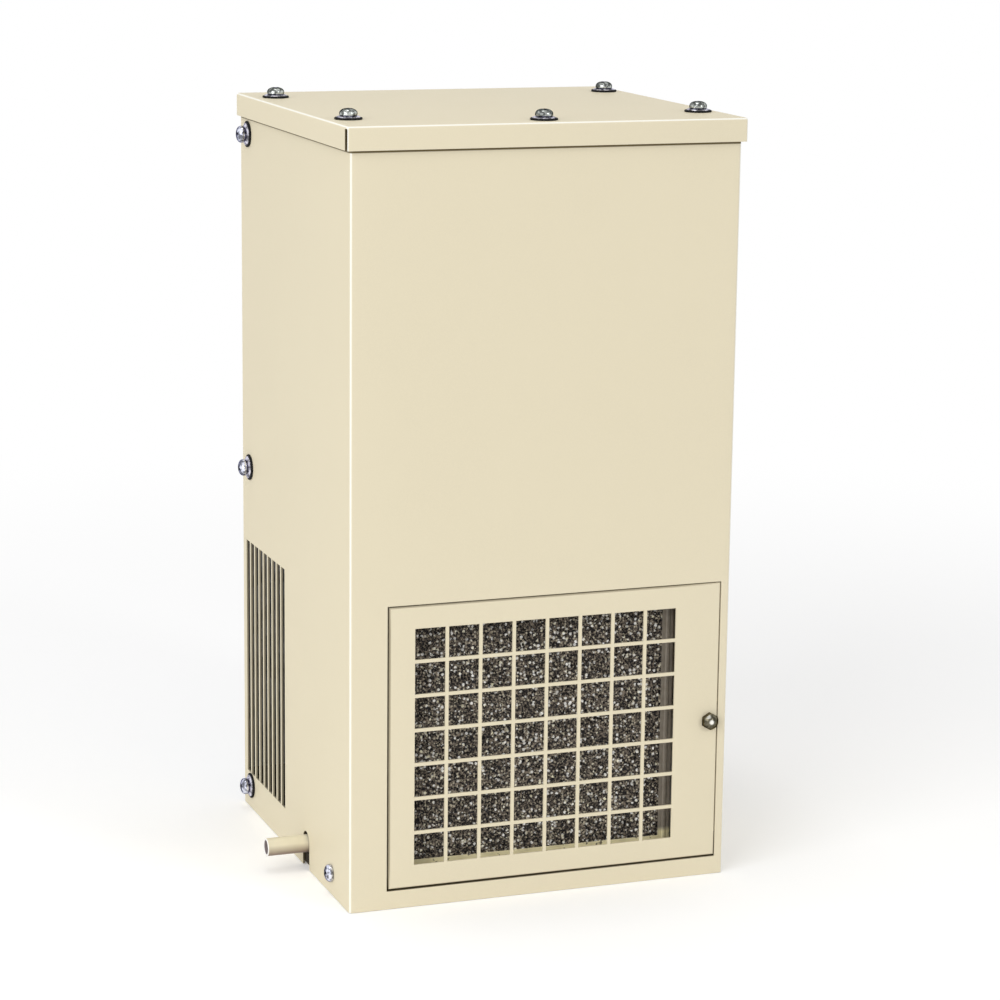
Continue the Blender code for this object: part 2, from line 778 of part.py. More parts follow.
def build_wrapper():
    wrapper = folded_sheet(
        "wrapper",
        (-HALF_WIDTH, FRONT, 0),
        (HALF_WIDTH, BACK, WRAPPER_TOP),
        ("-x", "-y", "+x"),
        SKIN,
        SKIN_BEND,
        "cream_paint",
    )
    low = DOOR_BOTTOM - DOOR_GAP
    high = DOOR_TOP + DOOR_GAP
    unite(
        wrapper,
        top_flange(),
        jamb("lower_jamb", low - SKIN, low + DOOR_GAP / 2),
        jamb("upper_jamb", high - DOOR_GAP / 2, high + SKIN),
    )
    door_opening = block(
        "door_opening",
        (DOOR_LEFT - DOOR_GAP, FRONT - OVERSHOOT, low),
        (DOOR_RIGHT + DOOR_GAP, FRONT + JAMB_DEPTH + OVERSHOOT, high),
    )
    notch = DRAIN_RADIUS + DRAIN_NOTCH_ROOM
    outside = -HALF_WIDTH - OVERSHOOT
    inside = -HALF_WIDTH + SKIN + OVERSHOOT
    notch_round = rod(
        "drain_notch_round",
        (outside, DRAIN_Y, DRAIN_HEIGHT),
        (inside, DRAIN_Y, DRAIN_HEIGHT),
        notch,
        sides=ROUND_SIDES,
    )
    notch_mouth = block(
        "drain_notch_mouth",
        (outside, DRAIN_Y - notch, -OVERSHOOT),
        (inside, DRAIN_Y + notch, DRAIN_HEIGHT),
    )
    return subtract(
        wrapper,
        door_opening,
        hinge_holes("jamb_hinge_holes", HINGE_PIN + HINGE_ROOM),
        notch_round,
        notch_mouth,
        slots_and_screw_holes(),
    )


def lid_corner_slits():
    """Open corners between the front flange and the side flanges."""
    bm = bmesh.new()
    for side in (-1, 1):
        corner = Vector((side * (HALF_WIDTH + LID_OVERHANG), FRONT - LID_OVERHANG, CABINET_HEIGHT))
        height = LID_FLANGE - LID_BEND + OVERSHOOT
        middle = corner - Vector((0, 0, LID_BEND + height / 2))
        size = Matrix.Diagonal((4 * LID_OVERHANG, LID_CORNER_SLIT, height, 1))
        turn = Matrix.Rotation(math.radians(-45 * side), 4, "Z")
        bmesh.ops.create_cube(bm, size=1, matrix=Matrix.Translation(middle) @ turn @ size)
    return mesh_object("lid_corner_slits", bm)


def build_top_cover():
    cover = folded_sheet(
        "top_cover",
        (-HALF_WIDTH - LID_OVERHANG, FRONT - LID_OVERHANG, CABINET_HEIGHT - LID_FLANGE),
        (HALF_WIDTH + LID_OVERHANG, BACK, CABINET_HEIGHT),
        ("+z", "-x", "+x", "-y"),
        SKIN,
        LID_BEND,
        "cream_paint",
    )
    holes = bmesh.new()
    add_top_screw_holes(holes)
    return subtract(cover, lid_corner_slits(), mesh_object("cover_screw_holes", holes))


def build_base_pan():
    pan = folded_sheet(
        "base_pan",
        (-INSIDE_X, INSIDE_FRONT, 0),
        (INSIDE_X, INSIDE_BACK, BASE_FLANGE),
        ("-z", "-x", "+x", "-y", "+y"),
        BASE_SHEET,
        BASE_BEND,
        "cream_paint",
    )
    front_relief = block(
        "base_front_relief",
        (BASE_SHEET - INSIDE_X, INSIDE_FRONT - OVERSHOOT, BASE_FRONT_FLANGE),
        (INSIDE_X - BASE_SHEET, INSIDE_FRONT + BASE_SHEET + OVERSHOOT, BASE_FLANGE + OVERSHOOT),
    )
    seat = DRAIN_RADIUS + CLEARANCE
    outside = -INSIDE_X - OVERSHOOT
    inside = -INSIDE_X + BASE_SHEET + OVERSHOOT
    seat_round = rod(
        "drain_seat_round",
        (outside, DRAIN_Y, DRAIN_HEIGHT),
        (inside, DRAIN_Y, DRAIN_HEIGHT),
        seat,
        sides=ROUND_SIDES,
    )
    seat_mouth = block(
        "drain_seat_mouth",
        (outside, DRAIN_Y - seat, DRAIN_HEIGHT),
        (inside, DRAIN_Y + seat, BASE_FLANGE + OVERSHOOT),
    )
    screw_holes = side_screw_holes("base_screw_holes")
    return subtract(pan, front_relief, seat_round, seat_mouth, screw_holes)


def build_partition():
    partition = folded_sheet(
        "partition_plate",
        (-PARTITION_X, INSIDE_FRONT, PARTITION_TOP - PARTITION_FLANGE),
        (PARTITION_X, INSIDE_BACK, PARTITION_TOP),
        ("+z", "-x", "+x", "-y", "+y"),
        PARTITION_SHEET,
        0,
        "galvanised_steel",
    )
    holes = (
        (SPOUT_X, SPOUT_Y, DRAIN_RADIUS),
        (LINE_X, EVAPORATOR_Y, SUCTION_RADIUS),
        (capillary_x(), DRIER_Y, CAPILLARY_RADIUS),
    )
    bm = bmesh.new()
    for x, y, radius in holes:
        low = (x, y, PARTITION_TOP - PARTITION_SHEET - OVERSHOOT)
        add_rod(bm, low, (x, y, PARTITION_TOP + OVERSHOOT), radius + LINE_HOLE_ROOM)
    return subtract(partition, mesh_object("partition_holes", bm))


def gasket_box():
    """Half width, bottom and top of the rear gasket."""
    return INSIDE_X - GASKET_INSET, PARTITION_TOP, WRAPPER_TOP - GASKET_INSET - MOUNT_HOLE_MARGIN


def mount_hole_places():
    _, _, top = gasket_box()
    low = PARTITION_TOP - PARTITION_FLANGE - MOUNT_HOLE_MARGIN
    heights = (low, top + MOUNT_HOLE_MARGIN)
    return [(side * MOUNT_HOLE_SPAN / 2, height) for side in (-1, 1) for height in heights]


def grommet_place():
    half, _, _ = gasket_box()
    return GROMMET_FROM_GASKET + GASKET_STRIP - half, BACK, BLOWER_Z


def build_back_plate():
    back_plate = folded_sheet(
        "back_plate",
        (-INSIDE_X, BACK - BACK_FLANGE, 0),
        (INSIDE_X, BACK, WRAPPER_TOP),
        ("-x", "+y", "+x"),
        BACK_SHEET,
        BACK_BEND,
        "galvanised_steel",
    )
    front = BACK - BACK_FLANGE - OVERSHOOT
    wide = INSIDE_X + OVERSHOOT
    edge = BACK - BACK_SHEET - CLEARANCE / 2
    low_relief = block(
        "back_flange_low_relief",
        (-wide, front, -OVERSHOOT),
        (wide, edge, SLOT_TOP + BACK_FLANGE_MARGIN),
    )
    top_relief = block(
        "back_flange_top_relief",
        (-wide, front, WRAPPER_TOP - SKIN - CLEARANCE),
        (wide, edge, WRAPPER_TOP + OVERSHOOT),
    )
    through = (BACK - BACK_SHEET - OVERSHOOT, BACK + OVERSHOOT)
    supply = block(
        "supply_opening",
        (-SUPPLY_WIDTH / 2, through[0], EVAPORATOR_Z - SUPPLY_HEIGHT / 2),
        (SUPPLY_WIDTH / 2, through[1], EVAPORATOR_Z + SUPPLY_HEIGHT / 2),
    )
    bm = bmesh.new()
    for x, z in mount_hole_places():
        add_rod(bm, (x, through[0], z), (x, through[1], z), MOUNT_HOLE)
    x, _, z = grommet_place()
    add_rod(bm, (x, through[0], z), (x, through[1], z), GROMMET_NECK + CLEARANCE, ROUND_SIDES)
    add_rod(bm, (0, through[0], BLOWER_Z), (0, through[1], BLOWER_Z), RETURN_RADIUS, ROUND_SIDES)
    round_holes = mesh_object("back_round_holes", bm)
    screw_holes = side_screw_holes("back_screw_holes")
    return subtract(back_plate, low_relief, top_relief, supply, round_holes, screw_holes)


def build_gasket():
    half, bottom, top = gasket_box()
    tall = (top - bottom) / 2
    outer = rounded_rectangle(half, tall, GASKET_CORNER)
    inner = rounded_rectangle(half - GASKET_STRIP, tall - GASKET_STRIP, GASKET_CORNER)
    gasket = plate("rear_gasket", (outer, inner), GASKET_THICKNESS, "black_rubber")
    gasket.location = (0, BACK + CLEARANCE + GASKET_THICKNESS / 2, (top + bottom) / 2)
    gasket.rotation_euler = (math.radians(90), 0, 0)
    return gasket


def build_grommet():
    """A grooved rubber ring that sits in a hole of the back plate."""
    lip = GROMMET_LIP_HEIGHT + CLEARANCE
    profile = [
        (GROMMET_LIP, lip),
        (GROMMET_LIP, CLEARANCE),
        (GROMMET_NECK, CLEARANCE),
        (GROMMET_NECK, -BACK_SHEET - CLEARANCE),
        (GROMMET_LIP, -BACK_SHEET - CLEARANCE),
        (GROMMET_LIP, -BACK_SHEET - lip),
        (GROMMET_BORE, -BACK_SHEET - lip),
        (GROMMET_BORE, lip),
    ]
    grommet = turned("cable_grommet", profile, "black_rubber", HOLE_SIDES, closed=True)
    return aim(grommet, grommet_place(), REARWARD)


# Filter door with its hinge and latch


def grille_holes():
    bm = bmesh.new()
    half = GRILLE_HOLE / 2
    for column in range(GRILLE_COLUMNS):
        x = GRILLE_X + (column - (GRILLE_COLUMNS - 1) / 2) * GRILLE_PITCH
        for row in range(GRILLE_ROWS):
            z = DOOR_MID_Z + (row - (GRILLE_ROWS - 1) / 2) * GRILLE_PITCH
            low = (x - half, FRONT - OVERSHOOT, z - half)
            add_box(bm, low, (x + half, FRONT + SKIN + OVERSHOOT, z + half))
    return mesh_object("grille_holes", bm)


def build_door():
    door = folded_sheet(
        "filter_door",
        (DOOR_LEFT, FRONT, DOOR_BOTTOM),
        (DOOR_RIGHT, FRONT + DOOR_FLANGE, DOOR_TOP),
        ("-y", "-x", "+x", "-z", "+z"),
        SKIN,
        DOOR_BEND,
        "cream_paint",
    )
    latch_hole = rod(
        "latch_hole",
        (LATCH_X, FRONT - OVERSHOOT, DOOR_MID_Z),
        (LATCH_X, FRONT + SKIN + OVERSHOOT, DOOR_MID_Z),
        LATCH_STEM + LATCH_ROOM,
    )
    pin_holes = hinge_holes("door_hinge_holes", HINGE_PIN + HINGE_ROOM)
    return subtract(door, grille_holes(), latch_hole, pin_holes)


def build_hinge_pin(name, place, direction):
    """A headed pin: the head seats on the jamb, and the shank reaches into the door."""
    shank = CLEARANCE + SKIN + DOOR_GAP + SKIN + HINGE_PIN_REACH
    profile = [
        (0, HINGE_HEAD_HEIGHT),
        (HINGE_HEAD, HINGE_HEAD_HEIGHT),
        (HINGE_HEAD, 0),
        (HINGE_PIN, 0),
        (HINGE_PIN, -shank),
        (0, -shank),
    ]
    return aim(turned(name, profile, "zinc_steel", HOLE_SIDES), place, direction)


def dome(radius, bottom, height, steps):
    """A quarter of an ellipse, from the axis down to the rim."""
    angles = [math.radians(90 * step / steps) for step in range(steps + 1)]
    return [(radius * math.sin(a), bottom + height * math.cos(a)) for a in angles]


def build_latch():
    stem_end = CAM_FRONT - FRONT + CAM_SHEET + CLEARANCE
    profile = [
        *dome(LATCH_KNOB, CLEARANCE, LATCH_KNOB_HEIGHT, DOME_STEPS),
        (LATCH_STEM, CLEARANCE),
        (LATCH_STEM, -stem_end),
        (0, -stem_end),
    ]
    knob = turned("latch_knob", profile, "zinc_steel", SMALL_ROUND_SIDES)
    aim(knob, (LATCH_X, FRONT, DOOR_MID_Z), FORWARD)

    half = CAM_WIDTH / 2
    outline = arc((0, CAM_LENGTH), half, 0, 180, 2 * ARC_STEPS)
    outline += arc((0, 0), half, 180, 360, 2 * ARC_STEPS)
    bore = arc((0, 0), LATCH_STEM + CLEARANCE, 0, 360, HOLE_SIDES)[:-1]
    cam = plate("latch_cam", (outline, bore), CAM_SHEET, "zinc_steel")
    cam.location = (LATCH_X, CAM_FRONT + CAM_SHEET / 2, DOOR_MID_Z)
    cam.rotation_euler = (math.radians(90), 0, 0)
    return knob, cam


def build_strike():
    """An angle on the cabinet's side that the cam turns behind."""
    return folded_sheet(
        "latch_strike",
        (INSIDE_X - STRIKE_TAB, STRIKE_FRONT, DOOR_MID_Z - STRIKE_HEIGHT / 2),
        (INSIDE_X, STRIKE_FRONT + STRIKE_LEG, DOOR_MID_Z + STRIKE_HEIGHT / 2),
        ("-y", "+x"),
        STRIKE_SHEET,
        0,
        "zinc_steel",
    )


# Filter


def filter_box(shrink_sides, shrink_faces):
    """Low and high corner of the filter, drawn in at its sides and at its front and back."""
    half_x = FILTER_WIDTH / 2 - shrink_sides
    half_z = FILTER_HEIGHT / 2 - shrink_sides
    low = (GRILLE_X - half_x, FILTER_FRONT + shrink_faces, DOOR_MID_Z - half_z)
    high = (GRILLE_X + half_x, FILTER_BACK - shrink_faces, DOOR_MID_Z + half_z)
    return low, high


def build_filter():
    low, high = filter_box(FILTER_LIP, -OVERSHOOT)
    window = block("filter_window", low, high)
    low, high = filter_box(0, 0)
    frame = folded_sheet(
        "filter_frame", low, high, tuple(FACE_NORMALS), FILTER_SHEET, 0, "aluminium"
    )
    subtract(frame, window)
    inset = FILTER_SHEET + CLEARANCE
    block("filter_media", *filter_box(inset, inset), "black_foam")


def build_filter_holder():
    """The condenser's baffle, with a tray in front that the filter stands in."""
    holder = block(
        "filter_holder",
        (-BAFFLE_X, BAFFLE_FRONT, FLOOR),
        (BAFFLE_X, BAFFLE_BACK, PARTITION_UNDER),
        "galvanised_steel",
    )
    low, high = filter_box(-CLEARANCE - SKIN, 0)
    tray = folded_sheet(
        "filter_tray",
        low,
        (high[0], BAFFLE_FRONT + SKIN / 2, DOOR_MID_Z),
        ("-x", "+x", "-z"),
        SKIN,
        0,
    )
    low, high = filter_box(FILTER_LIP, 0)
    window = block(
        "baffle_window",
        (low[0], BAFFLE_FRONT - OVERSHOOT, low[2]),
        (high[0], BAFFLE_BACK + OVERSHOOT, high[2]),
    )
    unite(holder, tray)
    subtract(holder, window)


# Condensate drain


def build_drain():
    drain = turned_ring(
        "drain_tube",
        DRAIN_RADIUS,
        DRAIN_RADIUS - DRAIN_WALL,
        -DRAIN_INSIDE,
        DRAIN_REACH,
        "ivory_plastic",
        SMALL_ROUND_SIDES,
    )
    aim(drain, (-HALF_WIDTH, DRAIN_Y, DRAIN_HEIGHT), (-1, 0, 0))

    tray = folded_sheet(
        "drip_tray",
        (TRAY_LEFT, TRAY_FRONT, UPPER_FLOOR),
        (TRAY_RIGHT, TRAY_BACK, UPPER_FLOOR + TRAY_HEIGHT),
        ("-z", "-x", "+x", "-y", "+y"),
        TRAY_SHEET,
        0,
        "galvanised_steel",
    )
    top = UPPER_FLOOR + TRAY_SHEET / 2
    spout = rod(
        "tray_spout", (SPOUT_X, SPOUT_Y, SPOUT_BOTTOM), (SPOUT_X, SPOUT_Y, top), DRAIN_RADIUS
    )
    bore = rod(
        "tray_spout_bore",
        (SPOUT_X, SPOUT_Y, SPOUT_BOTTOM - OVERSHOOT),
        (SPOUT_X, SPOUT_Y, UPPER_FLOOR + TRAY_SHEET + OVERSHOOT),
        DRAIN_RADIUS - DRAIN_WALL,
    )
    unite(tray, spout)
    subtract(tray, bore)
    build_drain_hose()


def build_drain_hose():
    """A soft hose that slips over the tray's spout and over the inner end of the drain tube."""
    upper = Vector((SPOUT_X, SPOUT_Y, SPOUT_BOTTOM))
    lower = Vector((DRAIN_INNER_END, DRAIN_Y, DRAIN_HEIGHT))
    down = Vector((0, 0, -HOSE_OVERLAP))
    outward = Vector((-HOSE_OVERLAP, 0, 0))
    middle = Vector((SPOUT_X, (SPOUT_Y + DRAIN_Y) / 2, 0)) + Vector(HOSE_MIDDLE)
    route = (
        upper - down,
        upper,
        upper + down,
        middle,
        lower + Vector(HOSE_SWEEP),
        lower + Vector((HOSE_LEAD, 0, 0)),
        lower,
        lower + outward,
    )
    points = smooth_path(route, HOSE_STEPS)
    outside = tube("drain_hose", points, HOSE_BORE + HOSE_WALL, "black_rubber", HOSE_RESOLUTION)
    hose = as_mesh(outside, "black_rubber")
    first = points[0] + (points[0] - points[1]).normalized() * OVERSHOOT
    last = points[-1] + (points[-1] - points[-2]).normalized() * OVERSHOOT
    inside = tube("drain_hose_bore", [first, *points, last], HOSE_BORE, None, HOSE_RESOLUTION)
    bore = as_mesh(inside, None)
    subtract(hose, bore)


# Fin and tube coils


def add_fin_grooves(bm, low, high):
    """Upright grooves in the front and back faces of a slab, which leave its fins standing."""
    middle = (low.x + high.x) / 2
    count = int((high.x - low.x) / FIN_PITCH)
    for index in range(count):
        left = middle + (index - (count - 1) / 2) * FIN_PITCH - FIN_GROOVE / 2
        right = left + FIN_GROOVE
        bottom = low.z - OVERSHOOT
        top = high.z + OVERSHOOT
        add_box(bm, (left, low.y - OVERSHOOT, bottom), (right, low.y + FIN_GROOVE_DEPTH, top))
        add_box(bm, (left, high.y - FIN_GROOVE_DEPTH, bottom), (right, high.y + OVERSHOOT, top))


def build_coil(name, place, half_length, depth, height, passes):
    """Fins of aluminium on one copper tube, which runs to and fro through them."""
    x, y, _ = place
    half = Vector((half_length, depth / 2, height / 2))
    low = Vector(place) - half
    high = Vector(place) + half
    fins = block(f"{name}_fins", low, high, "aluminium")
    cuts = bmesh.new()
    add_fin_grooves(cuts, low, high)
    reach = half_length + OVERSHOOT
    for level in passes:
        add_rod(cuts, (x - reach, y, level), (x + reach, y, level), COIL_TUBE + COIL_ROOM)
    subtract(fins, mesh_object(f"{name}_cuts", cuts))

    bend = abs(passes[1] - passes[0]) / 2
    end = x + half_length + COIL_TAIL
    turn = half_length + COIL_TAIL + bend
    corners = [(end, y, passes[0])]
    for index, (level, following) in enumerate(zip(passes, passes[1:])):
        side = x - turn if index % 2 == 0 else x + turn
        corners += [(side, y, level), (side, y, following)]
    corners.append((end, y, passes[-1]))
    tube(f"{name}_tube", bent_path(corners, bend), COIL_TUBE, "copper")


def pass_levels(middle, pitch, count):
    return [middle + ((count - 1) / 2 - index) * pitch for index in range(count)]


# Condenser fan


def blade_surface(bm, stations, shape):
    """A grid whose points shape() places, for a blade between two sets of stations."""
    across, along = stations
    bmesh.ops.create_grid(bm, x_segments=across, y_segments=along, size=0.5)
    for vert in bm.verts:
        vert.co = shape(vert.co.x + 0.5, vert.co.y + 0.5)


def thick_blade(name, stations, shape, sheet):
    bm = bmesh.new()
    blade_surface(bm, stations, shape)
    blade = mesh_object(name, bm)
    solidify = blade.modifiers.new("sheet", "SOLIDIFY")
    solidify.thickness = sheet
    solidify.offset = 0
    solidify.use_even_offset = True
    return blade


def fan_blade(index):
    """A pitched blade of an axial fan, about the fan's own Z axis."""
    root = FAN_HUB - FAN_BLADE_ROOT_DEPTH
    start = math.tau * index / FAN_BLADES
    rise = FAN_HUB_LENGTH - 2 * FAN_BLADE_SHEET

    def shape(across, along):
        radius = root + (FAN_RADIUS - FAN_BLADE_SHEET - root) * along
        angle = start + math.radians(FAN_BLADE_SWEEP) * (across - 0.5)
        return Vector((radius * math.cos(angle), radius * math.sin(angle), rise * (across - 0.5)))

    return thick_blade(f"fan_blade_{index}", FAN_BLADE_STATIONS, shape, FAN_BLADE_SHEET)


def place_on_axis(obj, tools, place):
    """Moves a wheel and the tools that shape it onto their Y axis."""
    for piece in (obj, *tools):
        aim(piece, place, REARWARD)


def build_motor(name, place, radius, length, direction):
    """A motor can with a bored boss on its shaft end."""
    bore = SHAFT_RADIUS + CLEARANCE
    profile = [
        (0, -SHAFT_ENGAGEMENT),
        (bore, -SHAFT_ENGAGEMENT),
        (bore, 0),
        (MOTOR_BOSS, 0),
        (MOTOR_BOSS, -MOTOR_BOSS_LENGTH),
        (radius - MOTOR_EDGE, -MOTOR_BOSS_LENGTH),
        (radius, -MOTOR_BOSS_LENGTH - MOTOR_EDGE),
        (radius, MOTOR_EDGE - length),
        (radius - MOTOR_EDGE, -length),
        (0, -length),
    ]
    return aim(turned(name, profile, "black_paint", SMALL_ROUND_SIDES), place, direction)


def build_condenser_fan():
    axis = joint_axis("condenser_fan_axis", (0, FAN_HUB_BACK, DOOR_MID_Z))
    ring_outer = FAN_RADIUS + FAN_TIP_ROOM + SHROUD_SHEET
    shroud = block(
        "fan_shroud",
        (-CONDENSER_X, SHROUD_FRONT, FLOOR),
        (CONDENSER_X, SHROUD_BACK, PARTITION_UNDER),
        "galvanised_steel",
    )
    collar = rod(
        "shroud_collar",
        (0, SHROUD_FRONT + SHROUD_SHEET / 2, DOOR_MID_Z),
        (0, COLLAR_BACK, DOOR_MID_Z),
        ring_outer,
        sides=ROUND_SIDES,
    )
    throat = rod(
        "shroud_throat",
        (0, SHROUD_FRONT - OVERSHOOT, DOOR_MID_Z),
        (0, COLLAR_BACK + OVERSHOOT, DOOR_MID_Z),
        FAN_RADIUS + FAN_TIP_ROOM,
        sides=ROUND_SIDES,
    )
    unite(shroud, collar)
    subtract(shroud, throat)

    half = FAN_HUB_LENGTH / 2
    hub = rod("condenser_fan", (0, 0, -half), (0, 0, half), FAN_HUB, "black_plastic", ROUND_SIDES)
    blades = [fan_blade(index) for index in range(FAN_BLADES)]
    reach = half + OVERSHOOT
    bore = rod("fan_bore", (0, 0, -reach), (0, 0, reach), SHAFT_RADIUS + CLEARANCE)
    unite(hub, *blades)
    subtract(hub, bore)
    place_on_axis(hub, [*blades, bore], (0, FAN_HUB_BACK - half, DOOR_MID_Z))

    motor_face = (0, FAN_MOTOR_FRONT, DOOR_MID_Z)
    build_motor("fan_motor", motor_face, FAN_MOTOR_RADIUS, FAN_MOTOR_LENGTH, FORWARD)
    shaft = rod(
        "fan_shaft",
        (0, FAN_HUB_FRONT, DOOR_MID_Z),
        (0, FAN_MOTOR_FRONT + SHAFT_ENGAGEMENT - CLEARANCE, DOOR_MID_Z),
        SHAFT_RADIUS,
        "zinc_steel",
    )
    carry(axis, hub, shaft)
    folded_sheet(
        "fan_bracket",
        (-FAN_BRACKET_WIDTH / 2, FAN_BRACKET_BACK - FAN_BRACKET_FOOT, FLOOR),
        (FAN_BRACKET_WIDTH / 2, FAN_BRACKET_BACK, DOOR_MID_Z + FAN_BRACKET_TOP),
        ("-z", "+y"),
        BRACKET_SHEET,
        BRACKET_BEND,
        "galvanised_steel",
    )


# Compressor


def foot_places():
    return [
        (
            COMPRESSOR_X + FOOT_CIRCLE * math.cos(math.radians(angle)),
            COMPRESSOR_Y + FOOT_CIRCLE * math.sin(math.radians(angle)),
        )
        for angle in FOOT_ANGLES
    ]


def build_compressor():
    profile = [
        *dome(COMPRESSOR_RADIUS, SHELL_TOP - COMPRESSOR_DOME, COMPRESSOR_DOME, DOME_STEPS),
        *reversed(dome(COMPRESSOR_RADIUS, SHELL_BOTTOM + COMPRESSOR_DOME, -COMPRESSOR_DOME, DOME_STEPS)),
    ]
    shell = turned("compressor", profile, "black_paint")
    shell.location = (COMPRESSOR_X, COMPRESSOR_Y, 0)

    outline = []
    for angle in FOOT_ANGLES:
        turn = math.radians(angle)
        lobe = (FOOT_CIRCLE * math.cos(turn), FOOT_CIRCLE * math.sin(turn))
        outline += arc(lobe, FOOT_LOBE, angle - FOOT_ARC, angle + FOOT_ARC, ARC_STEPS)
    foot = as_mesh(plate("compressor_foot", [outline], FOOT_SHEET), None)
    foot.location = (COMPRESSOR_X, COMPRESSOR_Y, FOOT_UNDER + FOOT_SHEET / 2)

    discharge = rod(
        "discharge_stub",
        (COMPRESSOR_X, COMPRESSOR_Y, SHELL_TOP - COMPRESSOR_DOME),
        (COMPRESSOR_X, COMPRESSOR_Y, DISCHARGE_PORT),
        LINE_RADIUS,
    )
    suction = rod(
        "suction_stub",
        (COMPRESSOR_X, COMPRESSOR_Y, SUCTION_PORT_HEIGHT),
        (SUCTION_PORT_X, COMPRESSOR_Y, SUCTION_PORT_HEIGHT),
        SUCTION_RADIUS,
    )
    cap_x = COMPRESSOR_X - TERMINAL_CAP_OFFSET
    terminal_cap = rod(
        "terminal_cap",
        (cap_x, COMPRESSOR_Y, SHELL_TOP - COMPRESSOR_DOME),
        (cap_x, COMPRESSOR_Y, SHELL_TOP + TERMINAL_CAP_RISE),
        TERMINAL_CAP,
    )
    unite(shell, foot, discharge, suction, terminal_cap)
    for index, (x, y) in enumerate(foot_places(), 1):
        build_isolator(f"isolator_{index}", x, y)


def build_isolator(name, x, y):
    """A waisted rubber mount under one foot of the compressor."""
    profile = [
        (0, ISOLATOR_HEIGHT),
        (ISOLATOR_RADIUS, ISOLATOR_HEIGHT),
        (ISOLATOR_RADIUS, ISOLATOR_HEIGHT - ISOLATOR_LIP),
        (ISOLATOR_WAIST, ISOLATOR_HEIGHT / 2),
        (ISOLATOR_RADIUS, ISOLATOR_LIP),
        (ISOLATOR_RADIUS, 0),
        (0, 0),
    ]
    turned(name, profile, "black_rubber", SCREW_SIDES).location = (x, y, FLOOR)


# Cabinet air blower


def blower_blade(index):
    """A backward-curved blade between the wheel's back disc and its front ring."""
    start = math.tau * index / BLOWER_BLADES
    root = BLOWER_EYE - 2 * BLOWER_SHEET
    tip = BLOWER_RADIUS - BLOWER_SHEET
    low = BLOWER_SHEET / 2
    high = BLOWER_WIDTH - BLOWER_SHEET / 2

    def shape(across, along):
        radius = root + (tip - root) * along
        angle = start - math.radians(BLOWER_BLADE_SWEEP) * along
        height = low + (high - low) * across
        return Vector((radius * math.cos(angle), radius * math.sin(angle), height))

    return thick_blade(f"blower_blade_{index}", BLOWER_BLADE_STATIONS, shape, BLOWER_SHEET)


def build_blower():
    axis = joint_axis("blower_axis", (0, BLOWER_FRONT, BLOWER_Z))
    disc = rod(
        "blower_wheel", (0, 0, 0), (0, 0, BLOWER_SHEET), BLOWER_RADIUS, "black_plastic", ROUND_SIDES
    )
    hub = rod("blower_hub", (0, 0, BLOWER_SHEET / 2), (0, 0, BLOWER_HUB_LENGTH), BLOWER_HUB)
    ring = turned_ring(
        "blower_ring", BLOWER_RADIUS, BLOWER_EYE, BLOWER_WIDTH - BLOWER_SHEET, BLOWER_WIDTH
    )
    blades = [blower_blade(index) for index in range(BLOWER_BLADES)]
    bore = rod(
        "blower_bore",
        (0, 0, -OVERSHOOT),
        (0, 0, BLOWER_HUB_LENGTH + OVERSHOOT),
        SHAFT_RADIUS + CLEARANCE,
    )
    unite(disc, hub, *blades, ring)
    subtract(disc, bore)
    place_on_axis(disc, [hub, ring, bore, *blades], (0, BLOWER_FRONT, BLOWER_Z))

    motor_face = (0, BLOWER_MOTOR_FACE, BLOWER_Z)
    build_motor("blower_motor", motor_face, BLOWER_MOTOR_RADIUS, BLOWER_MOTOR_LENGTH, REARWARD)
    shaft = rod(
        "blower_shaft",
        (0, BLOWER_MOTOR_FACE - SHAFT_ENGAGEMENT + CLEARANCE, BLOWER_Z),
        (0, BLOWER_FRONT + BLOWER_HUB_LENGTH, BLOWER_Z),
        SHAFT_RADIUS,
        "zinc_steel",
    )
    carry(axis, disc, shaft)
    front = BLOWER_BRACKET_FACE - BRACKET_SHEET
    folded_sheet(
        "blower_bracket",
        (-BLOWER_BRACKET_WIDTH / 2, front, UPPER_FLOOR),
        (BLOWER_BRACKET_WIDTH / 2, front + BLOWER_BRACKET_FOOT, BLOWER_Z + BLOWER_BRACKET_TOP),
        ("-z", "-y"),
        BRACKET_SHEET,
        BRACKET_BEND,
        "galvanised_steel",
    )


# Refrigerant lines


def capillary_x():
    """Where the capillary leaves its coil, on the far side from the filter drier."""
    return LINE_X - 2 * CAPILLARY_COIL


def build_discharge_line():
    run = PARTITION_UNDER - DISCHARGE_DROP
    corners = (
        (COMPRESSOR_X, COMPRESSOR_Y, DISCHARGE_PORT + LINE_JOINT),
        (COMPRESSOR_X, COMPRESSOR_Y, run),
        (LINE_X, COMPRESSOR_Y, run),
        (LINE_X, CONDENSER_Y, run),
        (LINE_X, CONDENSER_Y, CONDENSER_TOP_PASS),
        (CONDENSER_X + COIL_TAIL + LINE_JOINT, CONDENSER_Y, CONDENSER_TOP_PASS),
    )
    tube("discharge_line", bent_path(corners, LINE_BEND), LINE_RADIUS, "copper")


